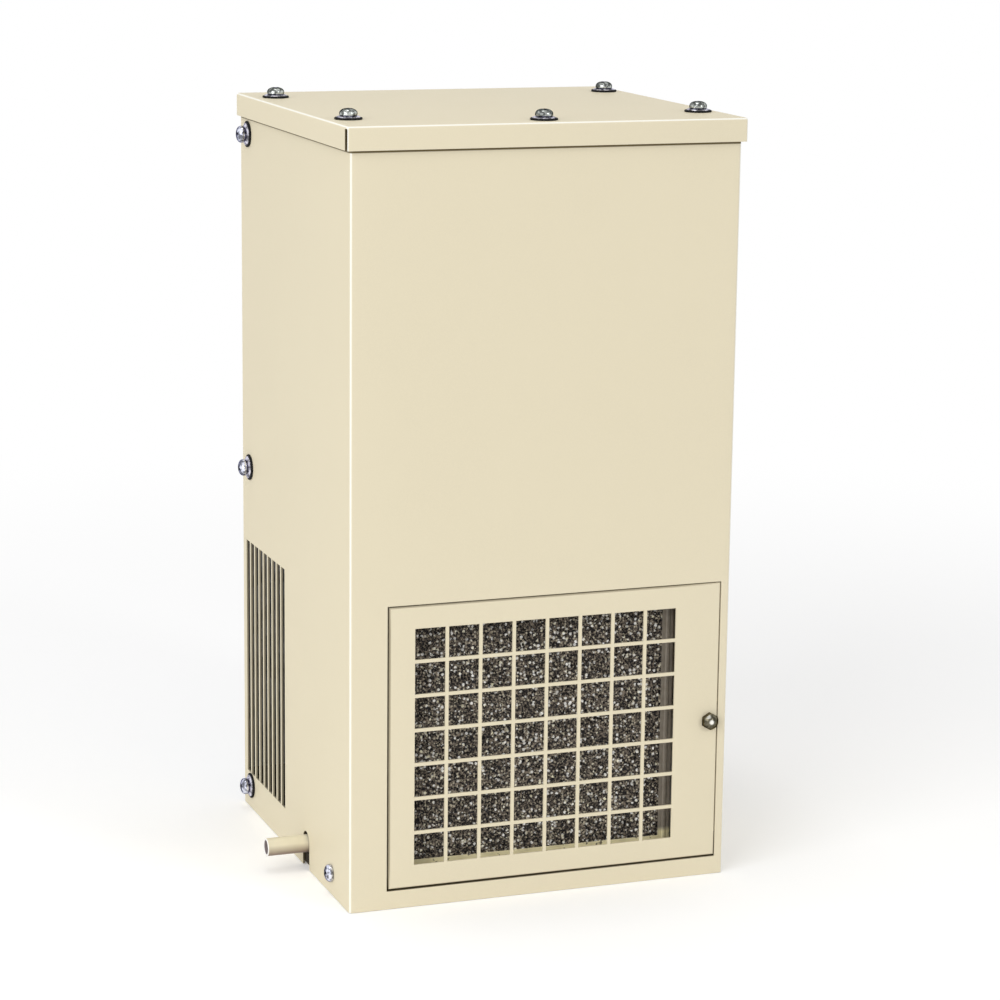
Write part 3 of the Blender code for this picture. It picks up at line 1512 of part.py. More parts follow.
def build_liquid_line():
    corners = (
        (CONDENSER_X + COIL_TAIL + LINE_JOINT, CONDENSER_Y, CONDENSER_LOW_PASS),
        (LINE_X, CONDENSER_Y, CONDENSER_LOW_PASS),
        (LINE_X, DRIER_Y, CONDENSER_LOW_PASS),
        (LINE_X, DRIER_Y, DRIER_BOTTOM - LINE_JOINT),
    )
    tube("liquid_line", bent_path(corners, LINE_BEND), LINE_RADIUS, "copper")
    top = DRIER_BOTTOM + DRIER_LENGTH
    profile = [
        (0, top),
        (LINE_RADIUS, top),
        (DRIER_RADIUS, top - DRIER_NECK),
        (DRIER_RADIUS, DRIER_BOTTOM + DRIER_NECK),
        (LINE_RADIUS, DRIER_BOTTOM),
        (0, DRIER_BOTTOM),
    ]
    drier = turned("filter_drier", profile, "copper", SMALL_ROUND_SIDES)
    drier.location = (LINE_X, DRIER_Y, 0)


def build_capillary():
    start = Vector((LINE_X, DRIER_Y, DRIER_BOTTOM + DRIER_LENGTH + LINE_JOINT))
    coil_bottom = start.z + CAPILLARY_RISE
    centre = LINE_X - CAPILLARY_COIL
    coil = []
    for step in range(int(CAPILLARY_TURNS * COIL_STEPS) + 1):
        angle = math.tau * step / COIL_STEPS
        rise = CAPILLARY_PITCH * step / COIL_STEPS
        x = centre + CAPILLARY_COIL * math.cos(angle)
        coil.append(Vector((x, DRIER_Y + CAPILLARY_COIL * math.sin(angle), coil_bottom + rise)))
    print_least_gap(coil)
    inlet = EVAPORATOR_Z + EVAPORATOR_HALF_SPAN
    above = inlet + CAPILLARY_CLEAR
    corners = (
        coil[-1],
        (capillary_x(), DRIER_Y, UPPER_FLOOR + CAPILLARY_CLEAR),
        (LINE_X, DRIER_Y, UPPER_FLOOR + CAPILLARY_CLEAR),
        (LINE_X, DRIER_Y, above),
        (LINE_X, EVAPORATOR_Y, above),
        (LINE_X, EVAPORATOR_Y, inlet),
        (EVAPORATOR_X + COIL_TAIL + LINE_JOINT, EVAPORATOR_Y, inlet),
    )
    points = [start, *coil, *bent_path(corners, LINE_BEND)[1:]]
    tube("capillary_tube", points, CAPILLARY_RADIUS, "copper", CAPILLARY_RESOLUTION)


def print_least_gap(coil):
    """The least gap between one turn of the coil and the next."""
    gaps = [
        (second - first).length - 2 * CAPILLARY_RADIUS
        for index, first in enumerate(coil)
        for second in coil[index + COIL_STEPS // 2 :]
    ]
    print(f"least gap between turns of the capillary coil: {1000 * min(gaps):.2f} mm")


def build_suction_line():
    outlet = EVAPORATOR_Z - EVAPORATOR_HALF_SPAN
    corners = (
        (EVAPORATOR_X + COIL_TAIL + LINE_JOINT, EVAPORATOR_Y, outlet),
        (LINE_X, EVAPORATOR_Y, outlet),
        (LINE_X, EVAPORATOR_Y, SUCTION_PORT_HEIGHT),
        (LINE_X, COMPRESSOR_Y, SUCTION_PORT_HEIGHT),
        (SUCTION_PORT_X + LINE_JOINT, COMPRESSOR_Y, SUCTION_PORT_HEIGHT),
    )
    tube("suction_line", bent_path(corners, LINE_BEND), SUCTION_RADIUS, "copper")


# Electrical controls


def build_control_box():
    half = CONTROL_WIDTH / 2
    folded_sheet(
        "control_box",
        (-half, CONTROL_FRONT, UPPER_FLOOR),
        (half, CONTROL_BACK, CONTROL_TOP),
        ("-z", "-x", "+x", "-y", "+y"),
        CONTROL_SHEET,
        0,
        "galvanised_steel",
    )
    wrap = CLEARANCE + CONTROL_SHEET
    cover = folded_sheet(
        "control_box_cover",
        (-half - wrap, CONTROL_FRONT - wrap, COVER_TOP - COVER_FLANGE),
        (half + wrap, CONTROL_BACK + wrap, COVER_TOP),
        ("+z", "-x", "+x", "-y", "+y"),
        CONTROL_SHEET,
        0,
        "galvanised_steel",
    )
    spindle_hole = rod(
        "spindle_hole",
        (THERMOSTAT_X, CONTROL_Y, CONTROL_TOP - OVERSHOOT),
        (THERMOSTAT_X, CONTROL_Y, COVER_TOP + OVERSHOOT),
        SPINDLE_RADIUS + CLEARANCE,
    )
    subtract(cover, spindle_hole)


def build_terminal_block():
    left = -TERMINAL_LENGTH / 2
    low = (left, CONTROL_Y - TERMINAL_DEPTH / 2, CONTROL_FLOOR)
    top = CONTROL_FLOOR + TERMINAL_HEIGHT
    high = (-left, CONTROL_Y + TERMINAL_DEPTH / 2, top)
    strip = block("terminal_block", low, high, "black_plastic")
    bm = bmesh.new()
    pitch = TERMINAL_LENGTH / TERMINAL_WAYS
    for way in range(TERMINAL_WAYS):
        x = left + (way + 0.5) * pitch
        add_box(
            bm,
            (x - TERMINAL_SLOT / 2, low[1] - OVERSHOOT, top - TERMINAL_SLOT_DEPTH),
            (x + TERMINAL_SLOT / 2, high[1] + OVERSHOOT, top + OVERSHOOT),
        )
    subtract(strip, mesh_object("terminal_slots", bm))


def build_capacitor():
    """A round can with a rolled rim at its top."""
    rim = CAPACITOR_RADIUS
    waist = CAPACITOR_RADIUS - CAPACITOR_RIM
    profile = [
        (0, CAPACITOR_HEIGHT - CAPACITOR_RIM),
        (waist, CAPACITOR_HEIGHT - CAPACITOR_RIM),
        (waist, CAPACITOR_HEIGHT),
        (rim, CAPACITOR_HEIGHT),
        (rim, CAPACITOR_HEIGHT - CAPACITOR_RIM_HEIGHT),
        (waist, CAPACITOR_HEIGHT - CAPACITOR_RIM_HEIGHT - CAPACITOR_RIM),
        (waist, 0),
        (0, 0),
    ]
    x = CONTROL_MARGIN + CAPACITOR_RADIUS - CONTROL_WIDTH / 2
    capacitor = turned("run_capacitor", profile, "aluminium", SMALL_ROUND_SIDES)
    capacitor.location = (x, CONTROL_Y, CONTROL_FLOOR)


def build_thermostat():
    half_x = THERMOSTAT_LENGTH / 2
    half_y = THERMOSTAT_DEPTH / 2
    body = block(
        "thermostat",
        (THERMOSTAT_X - half_x, CONTROL_Y - half_y, THERMOSTAT_TOP - THERMOSTAT_HEIGHT),
        (THERMOSTAT_X + half_x, CONTROL_Y + half_y, THERMOSTAT_TOP),
        "grey_plastic",
    )
    spindle_top = THERMOSTAT_TOP + SPINDLE_LENGTH
    spindle = rod(
        "spindle",
        (THERMOSTAT_X, CONTROL_Y, THERMOSTAT_TOP - THERMOSTAT_HEIGHT / 2),
        (THERMOSTAT_X, CONTROL_Y, spindle_top),
        SPINDLE_RADIUS,
    )
    unite(body, spindle)

    bottom = COVER_TOP + CLEARANCE
    axis = joint_axis("thermostat_dial_axis", (THERMOSTAT_X, CONTROL_Y, bottom))
    profile = [
        (0, DIAL_HEIGHT),
        (DIAL_RADIUS - DIAL_GRIP, DIAL_HEIGHT),
        (DIAL_RADIUS - DIAL_GRIP, DIAL_SKIRT),
        (DIAL_RADIUS, DIAL_SKIRT),
        (DIAL_RADIUS, 0),
        (0, 0),
    ]
    dial = turned("thermostat_dial", profile, "black_plastic")
    dial.location = axis.location
    grip = block(
        "dial_pointer",
        (-DIAL_GRIP / 2, 0, DIAL_SKIRT / 2),
        (DIAL_GRIP / 2, DIAL_RADIUS - DIAL_GRIP / 2, DIAL_HEIGHT - DIAL_GRIP / 2),
    )
    grip.location = axis.location
    bore = rod(
        "dial_bore",
        (THERMOSTAT_X, CONTROL_Y, bottom - OVERSHOOT),
        (THERMOSTAT_X, CONTROL_Y, spindle_top + CLEARANCE),
        SPINDLE_RADIUS + DIAL_BORE_ROOM,
    )
    unite(dial, grip)
    subtract(dial, bore)
    carry(axis, dial)


# Fasteners


def screw_profile(washer_height):
    """A pan head, with or without a sealing washer under it, on a pointed shank."""
    profile = dome(SCREW_HEAD, washer_height, SCREW_HEAD_HEIGHT, SCREW_DOME_STEPS)
    if washer_height:
        profile += [(WASHER_RADIUS, washer_height / 2), (WASHER_RADIUS, 0)]
    return [
        *profile,
        (SCREW_SHANK, 0),
        (SCREW_SHANK, SCREW_SHANK - SCREW_LENGTH),
        (0, -SCREW_LENGTH),
    ]


def build_screws():
    for index, (x, y) in enumerate(top_screw_places(), 1):
        screw = turned(f"top_screw_{index}", screw_profile(WASHER_HEIGHT), "zinc_steel", SCREW_SIDES)
        aim(screw, (x, y, CABINET_HEIGHT + CLEARANCE), UP)
    for side, label in ((-1, "left"), (1, "right")):
        face = side * (HALF_WIDTH + CLEARANCE)
        for index, (y, z) in enumerate(side_screw_places(), 1):
            name = f"{label}_side_screw_{index}"
            screw = turned(name, screw_profile(WASHER_HEIGHT), "zinc_steel", SCREW_SIDES)
            aim(screw, (face, y, z), (side, 0, 0))
        y, z = base_screw_place()
        screw = turned(f"{label}_base_screw", screw_profile(0), "zinc_steel", SCREW_SIDES)
        aim(screw, (face, y, z), (side, 0, 0))


# The whole unit


def build_door_assembly():
    door_axis = joint_axis("door_hinge_axis", (HINGE_X, HINGE_Y, DOOR_MID_Z))
    latch_axis = joint_axis("door_latch_axis", (LATCH_X, FRONT, DOOR_MID_Z))
    carry(door_axis, build_door(), latch_axis)
    carry(latch_axis, *build_latch())
    seat = CLEARANCE + SKIN + DOOR_GAP
    build_hinge_pin("hinge_pin_upper", (HINGE_X, HINGE_Y, DOOR_TOP + seat), UP)
    build_hinge_pin("hinge_pin_lower", (HINGE_X, HINGE_Y, DOOR_BOTTOM - seat), (0, 0, -1))
    build_strike()


def build_coils():
    build_coil(
        "condenser",
        (0, CONDENSER_Y, DOOR_MID_Z),
        CONDENSER_X,
        CONDENSER_DEPTH,
        FILTER_HEIGHT,
        pass_levels(DOOR_MID_Z, CONDENSER_PITCH, CONDENSER_PASSES),
    )
    build_coil(
        "evaporator",
        (0, EVAPORATOR_Y, EVAPORATOR_Z),
        EVAPORATOR_X,
        EVAPORATOR_DEPTH,
        EVAPORATOR_HEIGHT,
        pass_levels(EVAPORATOR_Z, EVAPORATOR_PITCH, EVAPORATOR_PASSES),
    )


def main():
    clear_scene()
    new_collection("cabinet_cooler")
    new_collection("cutters")
    build_wrapper()
    build_top_cover()
    build_base_pan()
    build_partition()
    build_back_plate()
    build_gasket()
    build_grommet()
    build_door_assembly()
    build_filter()
    build_filter_holder()
    build_drain()
    build_coils()
    build_condenser_fan()
    build_compressor()
    build_blower()
    build_discharge_line()
    build_liquid_line()
    build_capillary()
    build_suction_line()
    build_control_box()
    build_terminal_block()
    build_capacitor()
    build_thermostat()
    build_screws()


main()
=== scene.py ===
"""Looks of the cabinet cooler: fine sheet metal, screws, foam, finishes, light and camera.

Metres, +Z up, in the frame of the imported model. The front, with the filter door, faces -Y.
"""

import json
import math

import bmesh
import bpy
import numpy as np
from mathutils import Matrix, Vector


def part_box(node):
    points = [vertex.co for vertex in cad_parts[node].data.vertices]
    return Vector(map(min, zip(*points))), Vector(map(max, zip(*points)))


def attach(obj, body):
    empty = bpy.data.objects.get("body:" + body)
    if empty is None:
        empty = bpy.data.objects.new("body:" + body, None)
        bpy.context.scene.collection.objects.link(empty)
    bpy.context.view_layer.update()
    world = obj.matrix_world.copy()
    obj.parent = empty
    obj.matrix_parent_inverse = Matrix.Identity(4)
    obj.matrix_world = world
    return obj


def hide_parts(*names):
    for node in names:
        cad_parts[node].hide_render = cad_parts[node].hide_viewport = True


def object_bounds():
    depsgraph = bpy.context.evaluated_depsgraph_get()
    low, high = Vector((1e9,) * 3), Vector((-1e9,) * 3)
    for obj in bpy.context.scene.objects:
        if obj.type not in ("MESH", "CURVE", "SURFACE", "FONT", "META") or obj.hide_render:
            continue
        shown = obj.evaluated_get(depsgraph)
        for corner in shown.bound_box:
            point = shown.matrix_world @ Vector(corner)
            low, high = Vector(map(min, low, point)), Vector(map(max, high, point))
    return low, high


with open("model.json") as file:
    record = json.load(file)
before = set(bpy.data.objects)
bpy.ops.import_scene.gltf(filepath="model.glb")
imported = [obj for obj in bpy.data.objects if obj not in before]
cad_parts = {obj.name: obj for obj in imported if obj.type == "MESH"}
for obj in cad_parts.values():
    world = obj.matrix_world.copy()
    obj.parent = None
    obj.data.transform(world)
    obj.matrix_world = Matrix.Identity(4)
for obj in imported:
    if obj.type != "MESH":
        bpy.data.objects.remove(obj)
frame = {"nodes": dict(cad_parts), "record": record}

# Box of the solid model, and the boxes of the pieces that are made again here
CAD_LOW, CAD_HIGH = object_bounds()
WRAPPER_LOW, WRAPPER_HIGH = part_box("wrapper")
LID_LOW, LID_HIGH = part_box("top_cover")
DOOR_LOW, DOOR_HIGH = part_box("filter_door")
FOAM_LOW, FOAM_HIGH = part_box("filter_media")
CHANNEL_LOW, CHANNEL_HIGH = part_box("filter_frame")
BACK_LOW, BACK_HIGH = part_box("back_plate")
GASKET_LOW, GASKET_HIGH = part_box("rear_gasket")
GROMMET_LOW, GROMMET_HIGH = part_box("cable_grommet")
DRAIN_LOW, DRAIN_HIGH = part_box("drain_tube")
KNOB_LOW, KNOB_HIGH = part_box("latch_knob")
WHEEL_LOW, WHEEL_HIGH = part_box("blower_wheel")

HALF_WIDTH = WRAPPER_HIGH.x
FRONT = WRAPPER_LOW.y
BACK = WRAPPER_HIGH.y

# Camera, matched to the photograph
CAMERA_PLACE = Vector((-0.5956, -1.654, 0.5824))
CAMERA_AZIMUTH = 20.197
CAMERA_ELEVATION = 12.155
CAMERA_ROLL = 0.665
CAMERA_LENS = 111.6
SENSOR_WIDTH = 36

# World and floor
WORLD_LIGHT = 0.60
FLOOR_LIGHT = 0.66
FLOOR_COLOUR = (0.95, 0.95, 0.95)
FLOOR_LIFT = 0.19
FLOOR_FADE = (0.35, 1.2)
FLOOR_SIZE = 40
FLOOR_SIDES = 64
FLOOR_DROP = 0.0002

# Lamps: the way to each from the object, its distance, its size and its level
LAMPS = {
    "key": (Vector((-0.74, -0.56, 0.38)), 2.6, 1.8, 0.42),
    "fill": (Vector((0.40, -0.81, 0.38)), 2.6, 0.4, 0.10),
    "top": (Vector((-0.08, 0.0, 1)), 2.4, 0.5, 0.115),
}

# Folded sheets
SKIN = 0.001
SKIN_BEND = 0.0018
LID_BEND = 0.0015
LID_BEND_STEPS = 7
LID_SLIT = 0.0024
LID_SLIT_LEAN = 0.1
# How far below the lid's edge the wrapper's painted shade reaches, and over what height it fades
LID_SHADE_DROP = 0.0011
LID_SHADE_FADE = 0.0004
BACK_SHEET = 0.0015
BACK_BEND = 0.002
BEND_STEPS = 8
CUT_EDGE = 0.00016
FLANGE_WIDTH = 0.024

# Filter door and doorway
DOOR_BEND = 0.0010
# How strong the painted highlight is on the door's folds
DOOR_BEND_SHINE = 0.2
DOOR_GAP = 0.001
DOOR_GAP_RIGHT = 0.0004
DOOR_GAP_TOP = 0.0007
DOORWAY_LEFT = DOOR_LOW.x - DOOR_GAP
DOORWAY_RIGHT = DOOR_HIGH.x + DOOR_GAP_RIGHT
DOORWAY_BOTTOM = DOOR_LOW.z - DOOR_GAP
DOORWAY_TOP = DOOR_HIGH.z + DOOR_GAP_TOP
JAMB_DEPTH = 0.010
GRILLE_COLUMNS = 8
GRILLE_ROWS = 7
GRILLE_PITCH = 0.0195
GRILLE_HOLE = 0.0176
GRILLE_SHIFT = -0.006

# Painted shade on the door's folds: how fast it grows towards the back and, but for below, its most
DOOR_SHADE_LEFT = (60, 0.62)
DOOR_SHADE_ABOVE = (12, 0.45)
DOOR_SHADE_BELOW = 2

# Exhaust slots
SLOT_COUNT = 9
SLOT_PITCH = 0.0093
SLOT_WIDTH = 0.007
SLOT_BOTTOM = 0.022
SLOT_TOP = 0.166
SLOT_BACK_MARGIN = 0.0068
# How much of their painted shade the cut edges round the slots shed
SLOT_EDGE_UNSHADED = 0.45

# Drain stub and its notch
DRAIN_RADIUS = (DRAIN_HIGH.z - DRAIN_LOW.z) / 2
DRAIN_Y = (DRAIN_LOW.y + DRAIN_HIGH.y) / 2
DRAIN_Z = (DRAIN_LOW.z + DRAIN_HIGH.z) / 2
DRAIN_WALL = 0.00115
DRAIN_RIM = 0.00055
DRAIN_RIM_STEPS = 4
# Share of the end's round over which its painted highlight grows
DRAIN_RIM_HIGHLIGHT_FADE = 0.4
# Painted shade on the drain's underside: where it starts across the tube, and how fast it grows
DRAIN_UNDERSIDE_SHADE = (0.40, 0.95)
NOTCH_RADIUS = DRAIN_RADIUS + 0.0011
NOTCH_RISE = 0.0009

# Foam of the filter
FOAM_STEP = 0.0006
FOAM_ROUGHNESS = 0.0003
FOAM_SEED = 7
PORE_SIZE = 0.0018
PORE_DEPTH = 0.0019
PORE_SHALLOWEST = 0.3
PORE_FLANK = 0.6
PORE_SPARE_CELLS = 4
PORE_FIRST_CELL = 1.5

# Channel round the filter
CHANNEL_SHEET = 0.0008
CHANNEL_LIP = 0.008
CHANNEL_FOOT = (0.0086, 0.0078)
CHANNEL_SET_BACK = 0.0007
CHANNEL_BEND = 0.0024
CHANNEL_BEAD = 0.0013
CHANNEL_BEAD_INSET = 0.0046
CHANNEL_PALE_FOOT = (0.0100, 0.0130)

# Screws
TOP_SCREWS = 5
SIDE_SCREWS = 3
SCREW_TURN = 37
HEAD_RADIUS = 0.0049
HEAD_CROWN = 0.0027
HEAD_FULLNESS = 0.8
HEAD_STEPS = 10
HEAD_RIM = 0.0010
HEAD_GROOVE = 0.0002
RECESS_ARM = 0.0030
RECESS_WIDTH = 0.0008
RECESS_DEPTH = 0.0020
RECESS_TAPER = 0.55
WASHER_RADIUS = 0.0065
WASHER_NECK = 0.0046
WASHER_SHEET = 0.0006
RING_RADIUS = 0.0076
RING_BORE = 0.0034
RING_HEIGHT = 0.0013
RING_ROUND = 0.0004
TOP_DISH = 0.0008
TOP_SPACER = 0.0002
SIDE_DISH = 0.0014
SIDE_SPACER = 0.0005
SPACER_RADIUS = 0.0044
SHANK_RADIUS = 0.0024
SHANK_LENGTH = 0.008

# Latch knob, with the centre, size and level of each painted highlight
KNOB_RADIUS = (KNOB_HIGH.z - KNOB_LOW.z) / 2
KNOB_SIDES = 6
KNOB_STEM = 0.0022
KNOB_COLLAR = 0.0004
KNOB_DOME = 0.0054
KNOB_DOME_STEPS = 18
KNOB_EDGE = 0.0005
KNOB_HIGHLIGHTS = (((-0.0006, 0.0004), 0.30, 1.0), ((-0.0019, 0.0035), 0.26, 0.6))
KNOB_HIGHLIGHT_PEAK = 1.5

# Back plate, gasket and grommet
SUPPLY_WIDTH = 0.150
SUPPLY_HEIGHT = 0.054
RETURN_RADIUS = 0.042
MOUNT_HOLE = 0.0035
MOUNT_HOLE_SPAN = 0.170
MOUNT_HOLE_HEIGHTS = (0.169, 0.4187)
GROMMET_NECK = 0.0075
GROMMET_BORE = 0.005
GROMMET_ROUND = 0.0007
RELIEF_ROOM = 0.006
GASKET_STRIP = 0.010
GASKET_CORNER = 0.006
GASKET_EDGE = 0.0009

# Coils and blower wheel
FIN_PITCH = 0.0024
FIN_SHEET = 0.0003
WHEEL_EYE = 0.039
WHEEL_HUB = 0.012
WHEEL_HUB_LENGTH = 0.014
WHEEL_BORE = 0.003
WHEEL_SHEET = 0.0015
WHEEL_BLADES = 9
WHEEL_BLADE_SWEEP = 42
WHEEL_BLADE_STEPS = 12

# Modelling
ROUND_SIDES = 48
NODE_EDGE = 0.00025
SMOOTH_ANGLE = 38
WELD = 0.00001
FLAT = 0.9999
OVERSHOOT = 0.002
AXIS_X = 0
AXIS_Z = 2

# Places of the Mix node's colour sockets
MIX_FIRST = 6
MIX_SECOND = 7
MIX_RESULT = 2


# Material helpers


def feed(tree, node, inputs):
    """Links outputs to a node's inputs, or sets the inputs to numbers and colours."""
    for name, value in inputs.items():
        socket = node.inputs[name]
        if isinstance(value, bpy.types.NodeSocket):
            tree.links.new(value, socket)
        else:
            socket.default_value = (*value, 1) if isinstance(value, tuple) else value
    return node


def add_node(tree, kind, inputs, **settings):
    """A shader node, with its settings made before its inputs are fed."""
    node = tree.nodes.new("ShaderNode" + kind)
    for name, value in settings.items():
        setattr(node, name, value)
    return feed(tree, node, inputs)


def new_material(name, roughness, metallic=0.0, specular=0.5, edge=(1, 1, 1)):
    """A Principled material, with its node tree and its shader."""
    material = bpy.data.materials.new(name)
    material.use_nodes = True
    tree = material.node_tree
    shader = tree.nodes["Principled BSDF"]
    feed(tree, shader, {"Roughness": roughness, "Metallic": metallic})
    feed(tree, shader, {"Specular IOR Level": specular, "Specular Tint": edge})
    return material, tree, shader


def own_place(tree):
    """The piece's own coordinates, in metres."""
    return add_node(tree, "TexCoord", {}).outputs["Object"]


def cells(tree, scale):
    """A Voronoi pattern: the distance from each cell's point, and a random level for each cell."""
    pattern = add_node(tree, "TexVoronoi", {"Vector": own_place(tree), "Scale": scale})
    split = add_node(tree, "SeparateColor", {"Color": pattern.outputs["Color"]})
    return pattern.outputs["Distance"], split.outputs["Red"]


def height_share(tree, start, end):
    """A share that goes from 0 to 1 between two heights."""
    split = add_node(tree, "SeparateXYZ", {"Vector": own_place(tree)})
    inputs = {"Value": split.outputs["Z"], "From Min": start, "From Max": end}
    return add_node(tree, "MapRange", inputs).outputs["Result"]


def attribute(tree, name):
    return add_node(tree, "Attribute", {}, attribute_name=name).outputs["Fac"]


def combine(tree, operation, first, second):
    return add_node(tree, "Math", {0: first, 1: second}, operation=operation).outputs[0]


def ramp(tree, source, *stops):
    """Colours or grey levels at places between 0 and 1 along a value."""
    node = add_node(tree, "ValToRGB", {"Fac": source})
    elements = node.color_ramp.elements
    while len(elements) < len(stops):
        elements.new(0.5)
    for element, (place, tone) in zip(elements, stops):
        element.position = place
        element.color = (*tone, 1) if isinstance(tone, tuple) else (tone, tone, tone, 1)
    return node.outputs["Color"]


def noise(tree, scale, detail, *stops):
    """Noise as it is, or as colours or grey levels."""
    inputs = {"Vector": own_place(tree), "Scale": scale, "Detail": detail}
    level = add_node(tree, "TexNoise", inputs).outputs["Fac"]
    return ramp(tree, level, *stops) if stops else level


def mix_colours(tree, share, first, second):
    """A blend of two colours or colour outputs by a share between 0 and 1."""
    inputs = {"Factor": share, MIX_FIRST: first, MIX_SECOND: second}
    return add_node(tree, "Mix", inputs, data_type="RGBA").outputs[MIX_RESULT]


def shade(colour, factor):
    return tuple(channel * factor for channel in colour)


def mottle(tree, colour, scale, detail, *stops):
    """A colour that noise makes darker and lighter, by the factor at each stop."""
    tones = [(place, shade(colour, factor)) for place, factor in stops]
    return noise(tree, scale, detail, *tones)


def roughen(tree, shader, scale, detail, depth, strength):
    """Gives a surface its fine grain."""
    inputs = {"Height": noise(tree, scale, detail), "Distance": depth, "Strength": strength}
    bump = add_node(tree, "Bump", inputs)
    feed(tree, shader, {"Normal": bump.outputs["Normal"]})


def finish(name, colour, roughness, tones, grain=None, marks=(), **shine):
    """A material whose colour noise varies, with other colours where its piece is marked.

    The tones, and a roughness that varies, give a noise's scale, its detail and its stops.
    """
    material, tree, shader = new_material(name, 0.5, **shine)
    tone = mottle(tree, colour, *tones)
    for layer, other in marks:
        tone = mix_colours(tree, attribute(tree, layer), tone, other)
    if isinstance(roughness, tuple):
        roughness = noise(tree, *roughness)
    feed(tree, shader, {"Base Color": tone, "Roughness": roughness})
    if grain:
        roughen(tree, shader, *grain)
    return material


# Finishes
CREAM = (0.80, 0.722, 0.535)
COAT_GRAIN = (1100, 3, 0.00005, 0.35)
# Heights over which the base pan turns from plain cream to painted shade
PAN_SHADE_HEIGHTS = (0.0004, 0.0014)
FLECK_CORE = 0.75
FLECK_FAINTEST = 0.55
FLECK_STEP = 0.001


def cream_paint():
    """Satin powder coat, with a painted highlight along the folds and painted shade in the joints.
    """
    # Colour of the painted highlight along the folds
    bright = (1.0, 0.985, 0.90)
    # Painted shade in the joints: under the lid's edge, on the doorway's returns and over the
    # door's folds
    joint_shade_colour = (0.145, 0.108, 0.045)
    material, tree, shader = new_material("cream_paint", 0.45, specular=0.04)
    cloud = mottle(tree, CREAM, 14, 3, (0.35, 0.99), (0.65, 1.008))
    speckle = noise(tree, 1500, 2, (0.3, 0.0), (0.7, 1.0))
    speckled = mix_colours(tree, speckle, cloud, shade(CREAM, 1.015))
    fold_highlight = ramp(tree, attribute(tree, "bend"), (0.15, 0.0), (0.7, 1.0))
    folded = mix_colours(tree, fold_highlight, speckled, bright)
    joint_shade = ramp(tree, attribute(tree, "joint_shade"), (0.0, 0.0), (1.0, 0.93))
    satin = noise(tree, 900, 2, (0.3, 0.36), (0.7, 0.48))
    feed(tree, shader, {"Base Color": mix_colours(tree, joint_shade, folded, joint_shade_colour), "Roughness": satin})
    roughen(tree, shader, *COAT_GRAIN)
    return material


def pan_paint():
    """The base pan's powder coat: plain cream underneath, and painted near-black above as painted
    shade inside the cabinet.
    """
    # Near-black painted shade over the pan's inside
    height_tone = (0.034, 0.028, 0.020)
    material, tree, shader = new_material("pan_paint", 0.75, specular=0.1)
    unshaded = mottle(tree, CREAM, 14, 3, (0.35, 0.93), (0.65, 1.0))
    painted_shade_tone = mottle(tree, height_tone, 60, 4, (0.3, 0.6), (0.7, 1.5))
    tone = mix_colours(tree, height_share(tree, *PAN_SHADE_HEIGHTS), unshaded, painted_shade_tone)
    feed(tree, shader, {"Base Color": tone})
    roughen(tree, shader, *COAT_GRAIN)
    return material


def plated_steel(name, zinc, edge, smooth, rough):
    """Zinc plate, with its tone seen straight on, the tone that it takes at a grazing angle, and
    dark and light patches of noise painted as reflections.
    """
    return finish(
        name,
        colour=zinc,
        roughness=(900, 3, (0.3, smooth), (0.75, rough)),
        tones=(420, 2, (0.42, 0.28), (0.60, 1.35)),
        grain=(700, 2, 0.00003, 0.3),
        metallic=1.0,
        edge=edge,
    )


def galvanised_steel():
    """Dipped sheet with large spangles and faint stains."""
    steel = (0.52, 0.53, 0.53)
    material, tree, shader = new_material("galvanised_steel", 0.42, metallic=1.0)
    _, level = cells(tree, 130)
    spangle = ramp(tree, level, (0.0, shade(steel, 0.84)), (1.0, shade(steel, 1.16)))
    stain_and_shade = noise(tree, 35, 4, (0.35, 0.0), (0.75, 0.5))
    stained = mix_colours(tree, stain_and_shade, spangle, shade(steel, 0.9))
    patchy = ramp(tree, level, (0.0, 0.34), (1.0, 0.52))
    feed(tree, shader, {"Base Color": stained, "Roughness": patchy})
    roughen(tree, shader, 600, 2, 0.00004, 0.25)
    return material


def copper():
    """Copper tube, from tarnished to bright."""
    tarnished = (0.52, 0.25, 0.15)
    metal = (0.80, 0.42, 0.26)
    bright = (0.86, 0.5, 0.33)
    material, tree, shader = new_material("copper", 0.3, metallic=1.0)
    tone = noise(tree, 160, 4, (0.3, tarnished), (0.55, metal), (0.8, bright))
    patchy = noise(tree, 240, 2, (0.3, 0.24), (0.7, 0.42))
    feed(tree, shader, {"Base Color": tone, "Roughness": patchy})
    return material


def filter_channel():
    """Dull brown-grey channel of the filter, paler along its foot, with a few dark blots there."""
    metal = (0.27, 0.235, 0.19)
    dark_blot_tone = (0.20, 0.17, 0.12)
    pale_foot_tone = (0.97, 0.88, 0.56)
    material, tree, shader = new_material("filter_channel", 0.45)
    tone = mottle(tree, metal, 260, 3, (0.3, 0.88), (0.7, 1.12))
    height_tone = noise(tree, 230, 2, (0.33, dark_blot_tone), (0.38, pale_foot_tone))
    low, high = CHANNEL_PALE_FOOT
    foot = height_share(tree, CHANNEL_LOW.z + high, CHANNEL_LOW.z + low)
    feed(tree, shader, {"Base Color": mix_colours(tree, foot, tone, height_tone)})
    roughen(tree, shader, 600, 2, 0.00003, 0.25)
    return material


def flecks(tree, scale, radius, share):
    """Sharp spots in a share of the cells of a Voronoi pattern, each spot with its own level."""
    distance, cell = cells(tree, scale)
    near = ramp(tree, distance, (FLECK_CORE * radius, 1.0), (radius, 0.0))
    first = 1 - share
    level = ramp(tree, cell, (first - FLECK_STEP, 0.0), (first, FLECK_FAINTEST), (1.0, 1.0))
    return combine(tree, "MULTIPLY", near, level)


